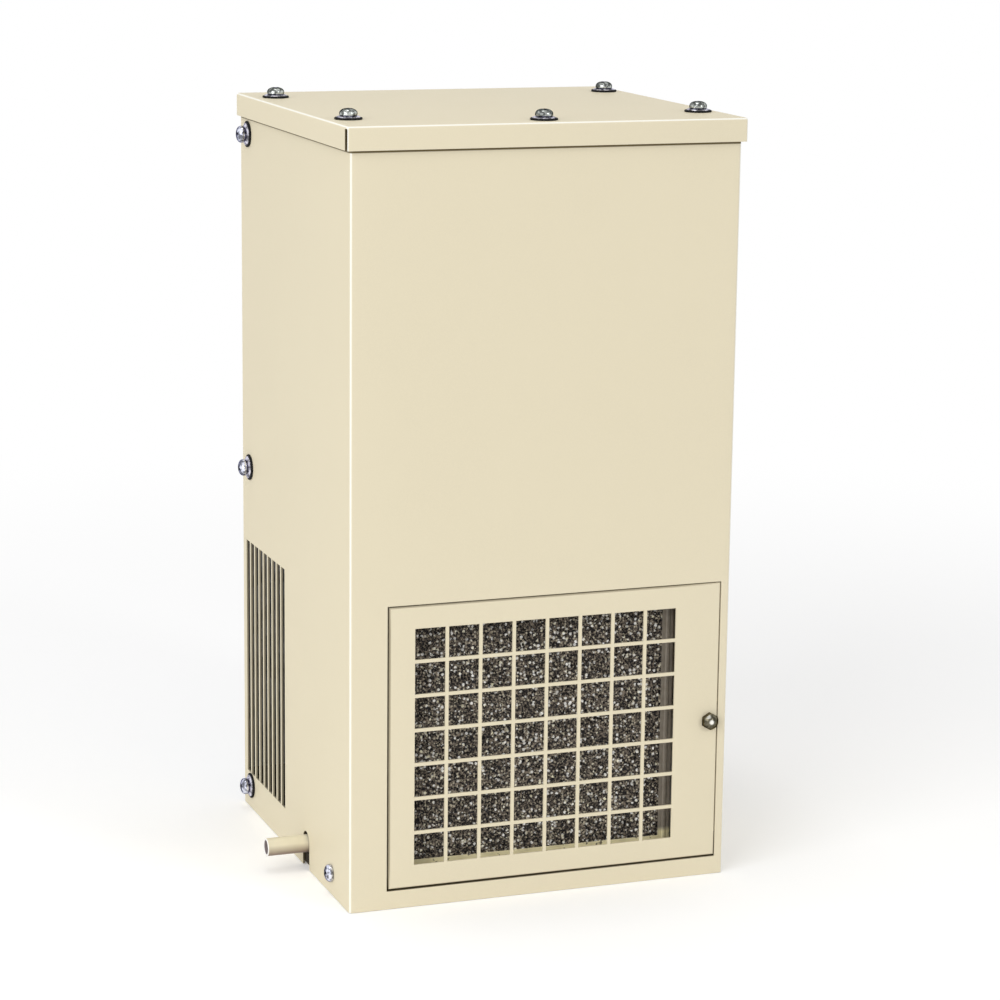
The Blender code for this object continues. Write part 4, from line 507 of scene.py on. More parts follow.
def black_foam():
    """Dark open-cell foam: pores painted black by their depth as painted shade, brown ridges with
    fine grit, and pale flecks painted as glints.
    """
    pit = (0.003, 0.002, 0.003)
    flank = (0.125, 0.102, 0.080)
    crest = (0.260, 0.215, 0.165)
    sand = (0.58, 0.52, 0.40)
    white = (1.0, 0.99, 0.96)
    straw = (0.95, 0.90, 0.66)
    material, tree, shader = new_material("black_foam", 0.8)
    # The pore layer darkens the pits by their depth, as painted shade
    ridges = ramp(tree, attribute(tree, "pore"), (0.0, crest), (0.4, flank), (0.9, pit))
    grit = noise(tree, 900, 1, (0.44, 0.0), (0.58, 1.0))
    body = mix_colours(tree, grit, pit, ridges)
    # Pale flecks painted as glints on the foam's strands
    fine = mix_colours(tree, flecks(tree, 600, 0.43, 0.52), body, sand)
    tint = noise(tree, 420, 1, (0.52, white), (0.68, straw))
    flecked = mix_colours(tree, flecks(tree, 410, 0.40, 0.52), fine, tint)
    feed(tree, shader, {"Base Color": flecked})
    return material


FINISHES = {
    "cream_paint": cream_paint(),
    # The top screws' zinc, painted darker as the darker reflections that they take
    "zinc_steel": plated_steel("zinc_steel", (0.40, 0.42, 0.40), (0.10, 0.11, 0.10), 0.15, 0.26),
    "galvanised_steel": galvanised_steel(),
    "black_paint": finish(
        "black_paint",
        colour=(0.02, 0.02, 0.021),
        roughness=0.38,
        tones=(300, 3, (0.3, 0.7), (0.7, 1.6)),
        grain=(900, 3, 0.00005, 0.4),
    ),
    "copper": copper(),
    "aluminium": finish(
        "aluminium",
        colour=(0.76, 0.76, 0.75),
        roughness=0.36,
        tones=(220, 3, (0.3, 0.88), (0.7, 1.05)),
        grain=(500, 2, 0.00003, 0.25),
        metallic=1.0,
    ),
    "black_rubber": finish(
        "black_rubber",
        colour=(0.007, 0.007, 0.008),
        roughness=0.72,
        tones=(260, 4, (0.3, 0.7), (0.75, 1.9)),
        grain=(1600, 2, 0.0001, 0.4),
        specular=0.15,
    ),
    "black_foam": black_foam(),
    "black_plastic": finish(
        "black_plastic",
        colour=(0.028, 0.028, 0.029),
        roughness=0.45,
        tones=(200, 3, (0.3, 0.75), (0.7, 1.35)),
        grain=(1400, 2, 0.00005, 0.3),
    ),
    "ivory_plastic": finish(
        "ivory_plastic",
        colour=(0.80, 0.735, 0.55),
        roughness=0.34,
        tones=(90, 3, (0.3, 0.95), (0.7, 1.04)),
        grain=(800, 2, 0.00003, 0.2),
        marks=(
            # Painted shade on the underside
            ("stain_and_shade", (0.27, 0.195, 0.145)),
            # A painted highlight on the end's rim
            ("rim", (0.98, 0.97, 0.94)),
            # Painted shade in the bore
            ("bore_shade", (0.29, 0.245, 0.24)),
        ),
    ),
    "grey_plastic": finish(
        "grey_plastic",
        colour=(0.45, 0.45, 0.44),
        roughness=0.5,
        tones=(200, 3, (0.3, 0.9), (0.7, 1.08)),
        grain=(1200, 2, 0.00005, 0.3),
    ),
}
# A lighter, bluer copy of the zinc for the screws on the sides, painted as the brighter reflections
# that they take
ZINC_PAINTED_BRIGHT = plated_steel("zinc_painted_bright", (0.64, 0.66, 0.77), (0.26, 0.26, 0.40), 0.15, 0.26)
WASHER_STEEL = plated_steel("washer_steel", (0.62, 0.61, 0.68), (0.74, 0.73, 0.84), 0.24, 0.38)
# Near-black steel for the spacer under a screw's head and its recess: painted shade
PAINTED_SHADE_STEEL = plated_steel("painted_shade_steel", (0.06, 0.06, 0.11), (0.12, 0.12, 0.22), 0.30, 0.45)
PAN_PAINT = pan_paint()
FILTER_CHANNEL = filter_channel()

# Sheared sheet edges, painted dark as painted shade on the rims of the openings, and lighter where
# they take less of it
CUT_EDGE_SHADE = finish(
    "cut_edge_shade",
    colour=(0.115, 0.088, 0.040),
    roughness=0.6,
    tones=(400, 3, (0.3, 0.75), (0.7, 1.3)),
    marks=[("unshaded", (0.62, 0.56, 0.41))],
)

# Chrome painted dark as a reflection of dark surroundings, with painted highlights where marked
DARK_CHROME = finish(
    "dark_chrome",
    colour=(0.115, 0.105, 0.074),
    roughness=(1200, 2, (0.3, 0.14), (0.75, 0.24)),
    tones=(330, 2, (0.35, 0.3), (0.6, 1.5)),
    marks=[("painted_highlight", (0.95, 0.93, 0.86))],
    metallic=1.0,
    edge=(0.30, 0.26, 0.17),
)


# Mesh helpers


def add_object(name, data):
    obj = bpy.data.objects.new(name, data)
    bpy.context.scene.collection.objects.link(obj)
    return obj


def smooth(mesh):
    """Smooth shading, with the sharper edges kept."""
    mesh.shade_smooth()
    mesh.set_sharp_from_angle(angle=math.radians(SMOOTH_ANGLE))


def mesh_object(name, bm, *materials):
    mesh = bpy.data.meshes.new(name)
    bm.to_mesh(mesh)
    bm.free()
    smooth(mesh)
    for material in materials:
        mesh.materials.append(material)
    return add_object(name, mesh)


def take_mesh(obj):
    """An object's mesh, once the object is gone."""
    mesh = obj.data
    bpy.data.objects.remove(obj, do_unlink=True)
    return mesh


def stand_for(obj, body, slot, *nodes):
    """The piece rides on a body and stands for solid nodes; its slot is not used."""
    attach(obj, body)
    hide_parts(*nodes)


def soften(obj, width, segments=2):
    """Small round edges, with flat faces kept flat."""
    edges = obj.modifiers.new("soft_edges", "BEVEL")
    edges.width = width
    edges.segments = segments
    edges.limit_method = "ANGLE"
    edges.angle_limit = math.radians(SMOOTH_ANGLE)
    edges.harden_normals = True
    edges.use_clamp_overlap = True
    return obj


def thicken(obj, thickness, rim=0):
    """Gives a sheet its thickness, its cut edges in the material that many slots further on."""
    sheet = obj.modifiers.new("sheet", "SOLIDIFY")
    sheet.thickness = thickness
    sheet.offset = -1
    sheet.use_even_offset = True
    sheet.material_offset_rim = rim
    return obj


def cut(obj, *tools, operation="DIFFERENCE"):
    """Applies the modifiers, then a cut with each tool, and removes the tools."""
    for tool in tools:
        modifier = obj.modifiers.new(tool.name, "BOOLEAN")
        modifier.operation = operation
        modifier.material_mode = "TRANSFER"
        modifier.object = tool
    bpy.context.view_layer.update()
    graph = bpy.context.evaluated_depsgraph_get()
    mesh = bpy.data.meshes.new_from_object(obj.evaluated_get(graph))
    obj.modifiers.clear()
    obj.data = mesh
    for tool in tools:
        bpy.data.objects.remove(tool, do_unlink=True)
    smooth(mesh)
    return obj


def add_box(bm, low, high):
    low = Vector(low)
    high = Vector(high)
    size = Matrix.Diagonal((*(high - low), 1))
    bmesh.ops.create_cube(bm, size=1, matrix=Matrix.Translation((low + high) / 2) @ size)


def add_rod(bm, start, end, radius, sides=ROUND_SIDES):
    start = Vector(start)
    end = Vector(end)
    turn = Vector((0, 0, 1)).rotation_difference(end - start).to_matrix().to_4x4()
    bmesh.ops.create_cone(
        bm,
        cap_ends=True,
        segments=sides,
        radius1=radius,
        radius2=radius,
        depth=(end - start).length,
        matrix=Matrix.Translation((start + end) / 2) @ turn,
    )


def add_ledge(bm, left, right, near, far, z, faces_up=True):
    """A level plate of no thickness, seen from above or from below."""
    corners = [(left, near, z), (right, near, z), (right, far, z), (left, far, z)]
    if not faces_up:
        corners.reverse()
    bm.faces.new([bm.verts.new(corner) for corner in corners])


def folded_box(low, high, ways, radius, steps):
    """A box without the faces that look some ways, folded along the edges that stay."""
    bm = bmesh.new()
    add_box(bm, low, high)
    bm.normal_update()
    gone = [face for face in bm.faces if any(face.normal.dot(way) > FLAT for way in ways)]
    bmesh.ops.delete(bm, geom=gone, context="FACES")
    folds = [edge for edge in bm.edges if len(edge.link_faces) == 2]
    bmesh.ops.bevel(bm, geom=folds, offset=radius, segments=steps, profile=0.5, affect="EDGES")
    return bm


def join_loops(bm, first, second):
    """Quads between two closed loops of points."""
    faces = []
    for index in range(len(first)):
        after = (index + 1) % len(first)
        corners = (first[after], first[index], second[index], second[after])
        faces.append(bm.faces.new(corners))
    return faces


def add_turned(bm, profile, closed=False, sides=ROUND_SIDES):
    """A profile of (radius, height) points turned about Z, with its points down the outer side."""
    before = set(bm.verts)
    points = [bm.verts.new((radius, 0, height)) for radius, height in profile]
    edges = [bm.edges.new(pair) for pair in zip(points, points[1:])]
    if closed:
        edges.append(bm.edges.new((points[-1], points[0])))
    bmesh.ops.spin(
        bm,
        geom=[*points, *edges],
        cent=(0, 0, 0),
        axis=(0, 0, 1),
        angle=math.tau,
        steps=sides,
        use_merge=True,
    )
    made = [vert for vert in bm.verts if vert not in before]
    bmesh.ops.remove_doubles(bm, verts=made, dist=WELD)
    faces = [face for face in bm.faces if not before.intersection(face.verts)]
    bmesh.ops.recalc_face_normals(bm, faces=faces)
    return faces


def grid_cells(rows):
    """The four corners of each cell between rows of points, after its row and its column."""
    for i, (first, second) in enumerate(zip(rows, rows[1:])):
        for j in range(len(first) - 1):
            yield i, j, (first[j], second[j], second[j + 1], first[j + 1])


def grid_rim(rows):
    """The points round the edge of rows of points."""
    rim = [row[0] for row in rows[:-1]] + rows[-1][:-1]
    return rim + [row[-1] for row in rows[:0:-1]] + rows[0][:0:-1]


def arc(centre, radius, start, end, steps):
    """Points on an arc between two angles in degrees."""
    angles = [math.radians(start + (end - start) * step / steps) for step in range(steps + 1)]
    return [(centre[0] + radius * math.cos(a), centre[1] + radius * math.sin(a)) for a in angles]


def quarter_turn(steps):
    """Angles from 0 to a right angle."""
    return [math.radians(90 * step / steps) for step in range(steps + 1)]


def mark_fold_highlights(bm, shine=1.0):
    """Marks the folds for a painted highlight, most in the middle of each bend, where they catch
    the light.
    """
    layer = bm.verts.layers.float.new("bend")
    diagonal = math.sqrt(0.5)
    bm.normal_update()
    for vert in bm.verts:
        lean = (1 - max(map(abs, vert.normal))) / (1 - diagonal)
        vert[layer] = shine * min(max(lean, 0.0), 1.0)


def mark(bm, name, level):
    """Keeps a level between 0 and 1, worked out from each point's place, for a material to read."""
    layer = bm.verts.layers.float.new(name)
    for vert in bm.verts:
        vert[layer] = min(max(float(level(vert.co)), 0.0), 1.0)


def aim(obj, place, direction, turn=0.0):
    """Puts the object's own Z axis along a direction, after a turn about it."""
    look = Vector((0, 0, 1)).rotation_difference(Vector(direction)).to_matrix().to_4x4()
    spin = Matrix.Rotation(math.radians(turn), 4, "Z")
    obj.matrix_world = Matrix.Translation(place) @ look @ spin


def middle(low, high):
    return (low + high) / 2


# Cabinet wrapper


def slot_edges():
    backs = [BACK - SLOT_BACK_MARGIN - index * SLOT_PITCH for index in range(SLOT_COUNT)]
    return [(back - SLOT_WIDTH, back) for back in backs]


def wrapper_plan():
    """The wrapper's outer face in plan, from the back of the left side round to the right."""
    stops = {BACK, DRAIN_Y - NOTCH_RADIUS, DRAIN_Y + NOTCH_RADIUS}
    stops.update(edge for slot in slot_edges() for edge in slot)
    stops = sorted(stops)
    inner = HALF_WIDTH - SKIN_BEND
    return [
        *[(-HALF_WIDTH, y) for y in reversed(stops)],
        *arc((-inner, FRONT + SKIN_BEND), SKIN_BEND, 180, 270, BEND_STEPS),
        (DOORWAY_LEFT, FRONT),
        (DOORWAY_RIGHT, FRONT),
        *arc((inner, FRONT + SKIN_BEND), SKIN_BEND, 270, 360, BEND_STEPS),
        *[(HALF_WIDTH, y) for y in stops],
    ]


def is_open(spot):
    """Whether a spot of the wrapper lies in the doorway, a slot or the drain notch."""
    if abs(spot.y - FRONT) < WELD:
        across = DOORWAY_LEFT < spot.x < DOORWAY_RIGHT
        return across and DOORWAY_BOTTOM < spot.z < DOORWAY_TOP
    in_notch = abs(spot.y - DRAIN_Y) < NOTCH_RADIUS and spot.z < SLOT_BOTTOM
    if spot.x < WELD - HALF_WIDTH and in_notch:
        return True
    in_slot = any(low < spot.y < high for low, high in slot_edges())
    return in_slot and SLOT_BOTTOM < spot.z < SLOT_TOP


def add_notch_arch(bm, rows, plan, levels):
    """The plate over the drain stub, with its round lower edge."""
    behind, ahead = (
        next(row for row, (x, y) in zip(rows, plan) if x < 0 and abs(y - edge) < WELD)
        for edge in (DRAIN_Y + NOTCH_RADIUS, DRAIN_Y - NOTCH_RADIUS)
    )
    low = levels.index(DRAIN_Z)
    high = levels.index(SLOT_BOTTOM)
    curve = arc((DRAIN_Y, DRAIN_Z + NOTCH_RISE), NOTCH_RADIUS, 0, 180, 2 * BEND_STEPS)
    arch = [bm.verts.new((-HALF_WIDTH, y, z)) for y, z in curve]
    bm.faces.new((behind[low], *arch, ahead[low], ahead[high], behind[high]))


def add_jambs(bm):
    """Returns above and below the doorway, which carry the hinge pins."""
    for z, faces_up in ((DOORWAY_BOTTOM, True), (DOORWAY_TOP, False)):
        depth = (FRONT + SKIN, FRONT + JAMB_DEPTH)
        add_ledge(bm, DOORWAY_LEFT, DOORWAY_RIGHT, *depth, z, faces_up)


def add_top_flange(bm):
    """The flange under the top cover, a U in plan that is open at the back."""
    top = WRAPPER_HIGH.z
    outer = HALF_WIDTH - SKIN
    inner = HALF_WIDTH - FLANGE_WIDTH
    ledge = FRONT + FLANGE_WIDTH
    back = BACK_HIGH.y - BACK_SHEET - CUT_EDGE
    add_ledge(bm, -outer, outer, FRONT + SKIN, ledge, top)
    for left, right in ((-outer, -inner), (inner, outer)):
        add_ledge(bm, left, right, ledge, back, top)


def lies_on_jamb(spot):
    """Whether a point lies on a return of the doorway, behind the front."""
    across = DOOR_LOW.x - 2 * DOOR_GAP < spot.x < DOOR_HIGH.x + 2 * DOOR_GAP
    behind = FRONT + WELD < spot.y < FRONT + JAMB_DEPTH + WELD
    return across and behind and spot.z < DOOR_HIGH.z + 2 * DOOR_GAP


def edge_unshaded_share(spot):
    """How much a cut edge sheds its painted shade: wholly on the doorway's right edge, partly round
    the slots.
    """
    if abs(spot.x - DOORWAY_RIGHT) < WELD and spot.y < FRONT + WELD:
        return 1.0
    beside = abs(spot.x) > HALF_WIDTH - WELD and spot.y > FRONT + SKIN_BEND + WELD
    return SLOT_EDGE_UNSHADED if beside and SLOT_BOTTOM - WELD < spot.z < SLOT_TOP + WELD else 0.0


def build_wrapper():
    joint = LID_LOW.z - LID_SHADE_DROP
    levels = [0.0, DOORWAY_BOTTOM, DRAIN_Z, SLOT_BOTTOM, SLOT_TOP, DOORWAY_TOP]
    levels += [joint - LID_SHADE_FADE, joint, WRAPPER_HIGH.z]
    plan = wrapper_plan()
    bm = bmesh.new()
    rows = [[bm.verts.new((x, y, z)) for z in levels] for x, y in plan]
    for _, _, corners in grid_cells(rows):
        if not is_open(sum((corner.co for corner in corners), Vector()) / 4):
            bm.faces.new(corners)
    add_notch_arch(bm, rows, plan, levels)
    loose = [vert for vert in bm.verts if not vert.link_faces]
    bmesh.ops.delete(bm, geom=loose, context="VERTS")
    add_jambs(bm)
    add_top_flange(bm)
    # Painted highlight along the folds
    mark_fold_highlights(bm)
    # Painted shade under the lid's edge and on the doorway's returns
    mark(bm, "joint_shade", lambda spot: spot.z > joint - WELD or lies_on_jamb(spot))
    # Cut edges that take less of their painted shade
    mark(bm, "unshaded", edge_unshaded_share)
    wrapper = mesh_object("wrapper_sheet", bm, FINISHES["cream_paint"], CUT_EDGE_SHADE)
    soften(thicken(wrapper, SKIN, rim=1), CUT_EDGE)
    stand_for(wrapper, "cabinet", "cream_paint", "wrapper")


# Top cover


def lies_in_slit(face, slit_end):
    """Whether a face lies in the open front corner, between the front flange and a side one."""
    upright = abs(face.normal.z) < WELD
    faces_side = abs(face.normal.x) > abs(face.normal.y) + LID_SLIT_LEAN
    return upright and faces_side and face.calc_center_median().y < slit_end


def build_top_cover():
    """A shallow lid, open at its underside and back, with open front corners."""
    ways = ((0, 0, -1), (0, 1, 0))
    bm = folded_box(LID_LOW, LID_HIGH, ways, LID_BEND, LID_BEND_STEPS)
    bm.normal_update()
    sides = [face for face in bm.faces if abs(face.normal.x) > FLAT]
    edges = dict.fromkeys(edge for face in sides for edge in face.edges)
    verts = dict.fromkeys(vert for face in sides for vert in face.verts)
    slit_end = LID_LOW.y + LID_BEND + LID_SLIT
    bmesh.ops.bisect_plane(
        bm, geom=[*verts, *edges, *sides], plane_co=(0, slit_end, 0), plane_no=(0, 1, 0)
    )
    bm.normal_update()
    slits = [face for face in bm.faces if lies_in_slit(face, slit_end)]
    bmesh.ops.delete(bm, geom=slits, context="FACES")
    # Painted highlight along the folds
    mark_fold_highlights(bm)
    lid = mesh_object("top_cover_sheet", bm, FINISHES["cream_paint"], CUT_EDGE_SHADE)
    soften(thicken(lid, SKIN, rim=1), CUT_EDGE)
    stand_for(lid, "cabinet", "cream_paint", "top_cover")


# Filter door


def grille_stops(centre, count):
    half = GRILLE_HOLE / 2
    middles = [centre + (index - (count - 1) / 2) * GRILLE_PITCH for index in range(count)]
    return [stop for place in middles for stop in (place - half, place + half)]


def door_fold_shade(spot):
    """Painted shade over the door's folds: olive on the left and above, dark below, none on the
    right.
    """
    depth = (spot.y - FRONT) / DOOR_BEND
    if spot.z < DOOR_LOW.z + DOOR_BEND:
        return DOOR_SHADE_BELOW * depth
    if spot.x > DOOR_HIGH.x - DOOR_BEND or depth > 1 + WELD:
        return 0.0
    spread, most = DOOR_SHADE_ABOVE if spot.z > DOOR_HIGH.z - DOOR_BEND else DOOR_SHADE_LEFT
    return min(spread * depth, most)


def outward(spot, across, up):
    """The way out of the door's panel at a point of its rim, in both directions at a corner."""
    x = (abs(spot.x - across[-1]) < WELD) - (abs(spot.x - across[0]) < WELD)
    z = (abs(spot.z - up[-1]) < WELD) - (abs(spot.z - up[0]) < WELD)
    return Vector((x, 0, z))


def build_door():
    """The door's panel with its punched grille, folded back along its four edges."""
    centre = middle(DOOR_LOW, DOOR_HIGH)
    across = grille_stops(centre.x + GRILLE_SHIFT, GRILLE_COLUMNS)
    up = grille_stops(centre.z, GRILLE_ROWS)
    across = [DOOR_LOW.x + DOOR_BEND, *across, DOOR_HIGH.x - DOOR_BEND]
    up = [DOOR_LOW.z + DOOR_BEND, *up, DOOR_HIGH.z - DOOR_BEND]
    bm = bmesh.new()
    grid = [[bm.verts.new((x, FRONT, z)) for z in up] for x in across]
    for i, j, corners in grid_cells(grid):
        if not (i % 2 and j % 2):
            bm.faces.new(corners)
    turns = quarter_turn(BEND_STEPS)[1:]
    steps = [(DOOR_BEND * math.sin(a), DOOR_BEND * (1 - math.cos(a))) for a in turns]
    steps += [(DOOR_BEND, 2 * DOOR_BEND), (DOOR_BEND, DOOR_HIGH.y - FRONT)]
    rim = grid_rim(grid)
    starts = [(vert.co.copy(), outward(vert.co, across, up)) for vert in rim]
    for out, back in steps:
        ring = [bm.verts.new(spot + way * out + Vector((0, back, 0))) for spot, way in starts]
        join_loops(bm, rim, ring)
        rim = ring
    # A faint painted highlight along the door's folds
    mark_fold_highlights(bm, DOOR_BEND_SHINE)
    # Painted shade on the door's folds
    mark(bm, "joint_shade", door_fold_shade)
    door = mesh_object("filter_door_sheet", bm, FINISHES["cream_paint"])
    soften(thicken(door, SKIN), CUT_EDGE)
    stand_for(door, "door", "cream_paint", "filter_door")


# Filter foam


def pore_depths(x, z, random):
    """How deep each point lies in a pore, from 0 on the ridges to 1 in the middle of a pore."""
    columns = int((x.max() - x.min()) / PORE_SIZE) + PORE_SPARE_CELLS
    rows = int((z.max() - z.min()) / PORE_SIZE) + PORE_SPARE_CELLS
    seeds = random.random((columns, rows, 2))
    cell_x = (x - x.min()) / PORE_SIZE + PORE_FIRST_CELL
    cell_z = (z - z.min()) / PORE_SIZE + PORE_FIRST_CELL
    depths = PORE_SHALLOWEST + (1 - PORE_SHALLOWEST) * random.random((columns, rows))
    near = np.full(x.shape, np.inf)
    second = np.full(x.shape, np.inf)
    deep = np.zeros(x.shape)
    for step_x in (-1, 0, 1):
        for step_z in (-1, 0, 1):
            i = np.clip(cell_x.astype(int) + step_x, 0, columns - 1)
            j = np.clip(cell_z.astype(int) + step_z, 0, rows - 1)
            away = np.hypot(cell_x - i - seeds[i, j, 0], cell_z - j - seeds[i, j, 1])
            second = np.minimum(second, np.maximum(near, away))
            deep = np.where(away < near, depths[i, j], deep)
            near = np.minimum(near, away)
    share = np.clip((second - near) / PORE_FLANK, 0, 1)
    return share * share * (3 - 2 * share) * deep


def build_foam():
    """The filter's foam: a pad whose face is eaten into pores with ridges between them."""
    random = np.random.default_rng(FOAM_SEED)
    size = FOAM_HIGH - FOAM_LOW
    columns = int(size.x / FOAM_STEP) + 1
    rows = int(size.z / FOAM_STEP) + 1
    x, z = np.meshgrid(
        np.linspace(FOAM_LOW.x, FOAM_HIGH.x, columns),
        np.linspace(FOAM_LOW.z, FOAM_HIGH.z, rows),
        indexing="ij",
    )
    pores = pore_depths(x, z, random)
    y = FOAM_LOW.y + pores * PORE_DEPTH + random.random(x.shape) * FOAM_ROUGHNESS

    bm = bmesh.new()
    # The pore depths also feed the foam's painted shade
    layer = bm.verts.layers.float.new("pore")
    grid = []
    for i in range(columns):
        grid.append([bm.verts.new((x[i, j], y[i, j], z[i, j])) for j in range(rows)])
        for vert, pore in zip(grid[i], pores[i]):
            vert[layer] = pore
    for _, _, corners in grid_cells(grid):
        bm.faces.new(corners)
    rim = grid_rim(grid)
    back = [bm.verts.new((vert.co.x, FOAM_HIGH.y, vert.co.z)) for vert in rim]
    join_loops(bm, rim, back)
    bm.faces.new(list(reversed(back)))
    bmesh.ops.recalc_face_normals(bm, faces=bm.faces)
    foam = mesh_object("filter_foam", bm, FINISHES["black_foam"])
    stand_for(foam, "cabinet", "black_foam", "filter_media")


# Channel round the filter


def channel_profile():
    """Inset from the outer edge and depth behind the front, from the front lip to the back one."""
    deep = CHANNEL_HIGH.y - CHANNEL_LOW.y
    flat = CHANNEL_SET_BACK
    bead = arc((CHANNEL_BEAD_INSET, flat), CHANNEL_BEAD, 0, -180, BEND_STEPS)
    rise = flat / CHANNEL_BEAD
    bead = [(inset, flat + (depth - flat) * rise) for inset, depth in bead]
    bend = arc((CHANNEL_BEND, flat + CHANNEL_BEND), CHANNEL_BEND, 270, 180, BEND_STEPS)
    return [(CHANNEL_LIP, flat), *bead, *bend, (0, deep), (CHANNEL_LIP, deep)]


def build_channel():
    """A folded channel with a bead along its front lip, mitred round the foam."""
    bm = bmesh.new()
    rings = []
    for inset, depth in channel_profile():
        left = CHANNEL_LOW.x + inset
        right = CHANNEL_HIGH.x - inset
        low = CHANNEL_LOW.z + inset
        high = CHANNEL_HIGH.z - inset
        y = CHANNEL_LOW.y + depth
        corners = ((left, y, low), (right, y, low), (right, y, high), (left, y, high))
        rings.append([bm.verts.new(corner) for corner in corners])
    for vert, foot in zip(rings[0], CHANNEL_FOOT):
        vert.co.z = CHANNEL_LOW.z + foot
    for inner, outer in zip(rings, rings[1:]):
        join_loops(bm, inner, outer)
    channel = mesh_object("filter_channel", bm, FILTER_CHANNEL)
    soften(thicken(channel, CHANNEL_SHEET), CUT_EDGE)
    stand_for(channel, "cabinet", "aluminium", "filter_frame")


# Screws


def recess_cutter(name, top):
    """A cross that narrows downwards, for the recess in a screw's head, lined with near-black steel
    as painted shade.
    """
    bm = bmesh.new()
    loops = []
    for height, taper in ((top + OVERSHOOT, 1.0), (top - RECESS_DEPTH, RECESS_TAPER)):
        arm = RECESS_ARM * taper
        half = RECESS_WIDTH * (1 + taper) / 2
        quarter = [(arm, -half), (arm, half), (half, half)]
        loop = []
        for turn in range(4):
            spin = Matrix.Rotation(math.radians(90 * turn), 2)
            loop += [bm.verts.new((*(spin @ Vector(point)), height)) for point in quarter]
        loops.append(loop)
    upper, lower = loops
    bm.faces.new(upper)
    bm.faces.new(list(reversed(lower)))
    join_loops(bm, lower, upper)
    bmesh.ops.recalc_face_normals(bm, faces=bm.faces)
    return mesh_object(name, bm, PAINTED_SHADE_STEEL)


def head_profile(seat):
    """A pan head: a low crown that rolls over into an upright rim."""
    rim = seat + HEAD_RIM
    points = [
        (HEAD_RADIUS * math.sin(a) ** HEAD_FULLNESS, rim + HEAD_CROWN * math.cos(a))
        for a in quarter_turn(HEAD_STEPS)
    ]
    return [*points, (HEAD_RADIUS, seat + CUT_EDGE), (HEAD_RADIUS - CUT_EDGE, seat)]


def add_washers(bm, dish, spacer):
    """A spacer, a dished steel washer and the rubber ring under it."""
    lift = RING_HEIGHT + dish
    neck = [
        (SPACER_RADIUS, lift + spacer),
        (SPACER_RADIUS, lift - WASHER_SHEET),
        (RING_BORE, lift - WASHER_SHEET),
        (RING_BORE, lift + spacer),
    ]
    cup = [
        (WASHER_NECK, lift),
        (WASHER_RADIUS, RING_HEIGHT + CUT_EDGE),
        (WASHER_RADIUS, RING_HEIGHT - WASHER_SHEET),
        (RING_BORE, lift - WASHER_SHEET),
        (RING_BORE, lift),
    ]
    ring = [
        (RING_BORE, RING_HEIGHT - CUT_EDGE),
        (RING_RADIUS - RING_ROUND, RING_HEIGHT - CUT_EDGE),
        (RING_RADIUS, RING_HEIGHT - RING_ROUND),
        (RING_RADIUS, RING_ROUND),
        (RING_RADIUS - RING_ROUND, 0),
        (RING_BORE, 0),
    ]
    # The spacer takes near-black steel, painted as the shade between head and washer
    for slot, profile in enumerate((ring, cup, neck), start=1):
        for face in add_turned(bm, profile, closed=True):
            face.material_index = slot


def screw_mesh(name, zinc, dish=0.0, spacer=0.0):
    """A pan head with a cross recess on its shank and, for a sealed joint, its washers."""
    sealed = dish > 0
    seat = RING_HEIGHT + dish + spacer if sealed else HEAD_GROOVE
    shank = [(SHANK_RADIUS, seat), (SHANK_RADIUS, SHANK_RADIUS - SHANK_LENGTH), (0, -SHANK_LENGTH)]
    bm = bmesh.new()
    add_turned(bm, head_profile(seat) + shank)
    screw = mesh_object(name, bm, zinc, FINISHES["black_rubber"], WASHER_STEEL, PAINTED_SHADE_STEEL)
    mesh = take_mesh(cut(screw, recess_cutter(f"{name}_recess", seat + HEAD_RIM + HEAD_CROWN)))
    if sealed:
        bm = bmesh.new()
        bm.from_mesh(mesh)
        add_washers(bm, dish, spacer)
        bm.to_mesh(mesh)
        bm.free()
        smooth(mesh)
    return mesh


def place_screw(mesh, node, seat_axis, seat, turn):
    """Stands a screw on the face that its solid node sits on."""
    place = middle(*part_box(node))
    place[seat_axis] = seat
    way = Vector((0, 0, 0))
    way[seat_axis] = 1 if seat > 0 else -1
    screw = add_object(f"{node}_detail", mesh)
    aim(screw, place, way, turn)
    stand_for(screw, "cabinet", "zinc_steel", node)


def build_screws():
    top = screw_mesh("top_screw_mesh", FINISHES["zinc_steel"], TOP_DISH, TOP_SPACER)
    sealed = screw_mesh("side_screw_mesh", ZINC_PAINTED_BRIGHT, SIDE_DISH, SIDE_SPACER)
    plain = screw_mesh("base_screw_mesh", ZINC_PAINTED_BRIGHT)
    for index in range(1, TOP_SCREWS + 1):
        place_screw(top, f"top_screw_{index}", AXIS_Z, LID_HIGH.z, SCREW_TURN * index)
    for side, face in (("left", -HALF_WIDTH), ("right", HALF_WIDTH)):
        for index in range(1, SIDE_SCREWS + 1):
            place_screw(sealed, f"{side}_side_screw_{index}", AXIS_X, face, SCREW_TURN * index)
        place_screw(plain, f"{side}_base_screw", AXIS_X, face, SCREW_TURN)


# Latch knob


def knob_painted_highlights(spot):
    """Painted highlights on the crown and along the upper left edge."""
    levels = []
    for centre, size, level in KNOB_HIGHLIGHTS:
        off = (spot.xy - Vector(centre)) / KNOB_RADIUS
        levels.append(min(KNOB_HIGHLIGHT_PEAK * (1 - (off.length / size) ** 2), 1.0) * level)
    return max(levels) if spot.z > KNOB_COLLAR + WELD else 0.0


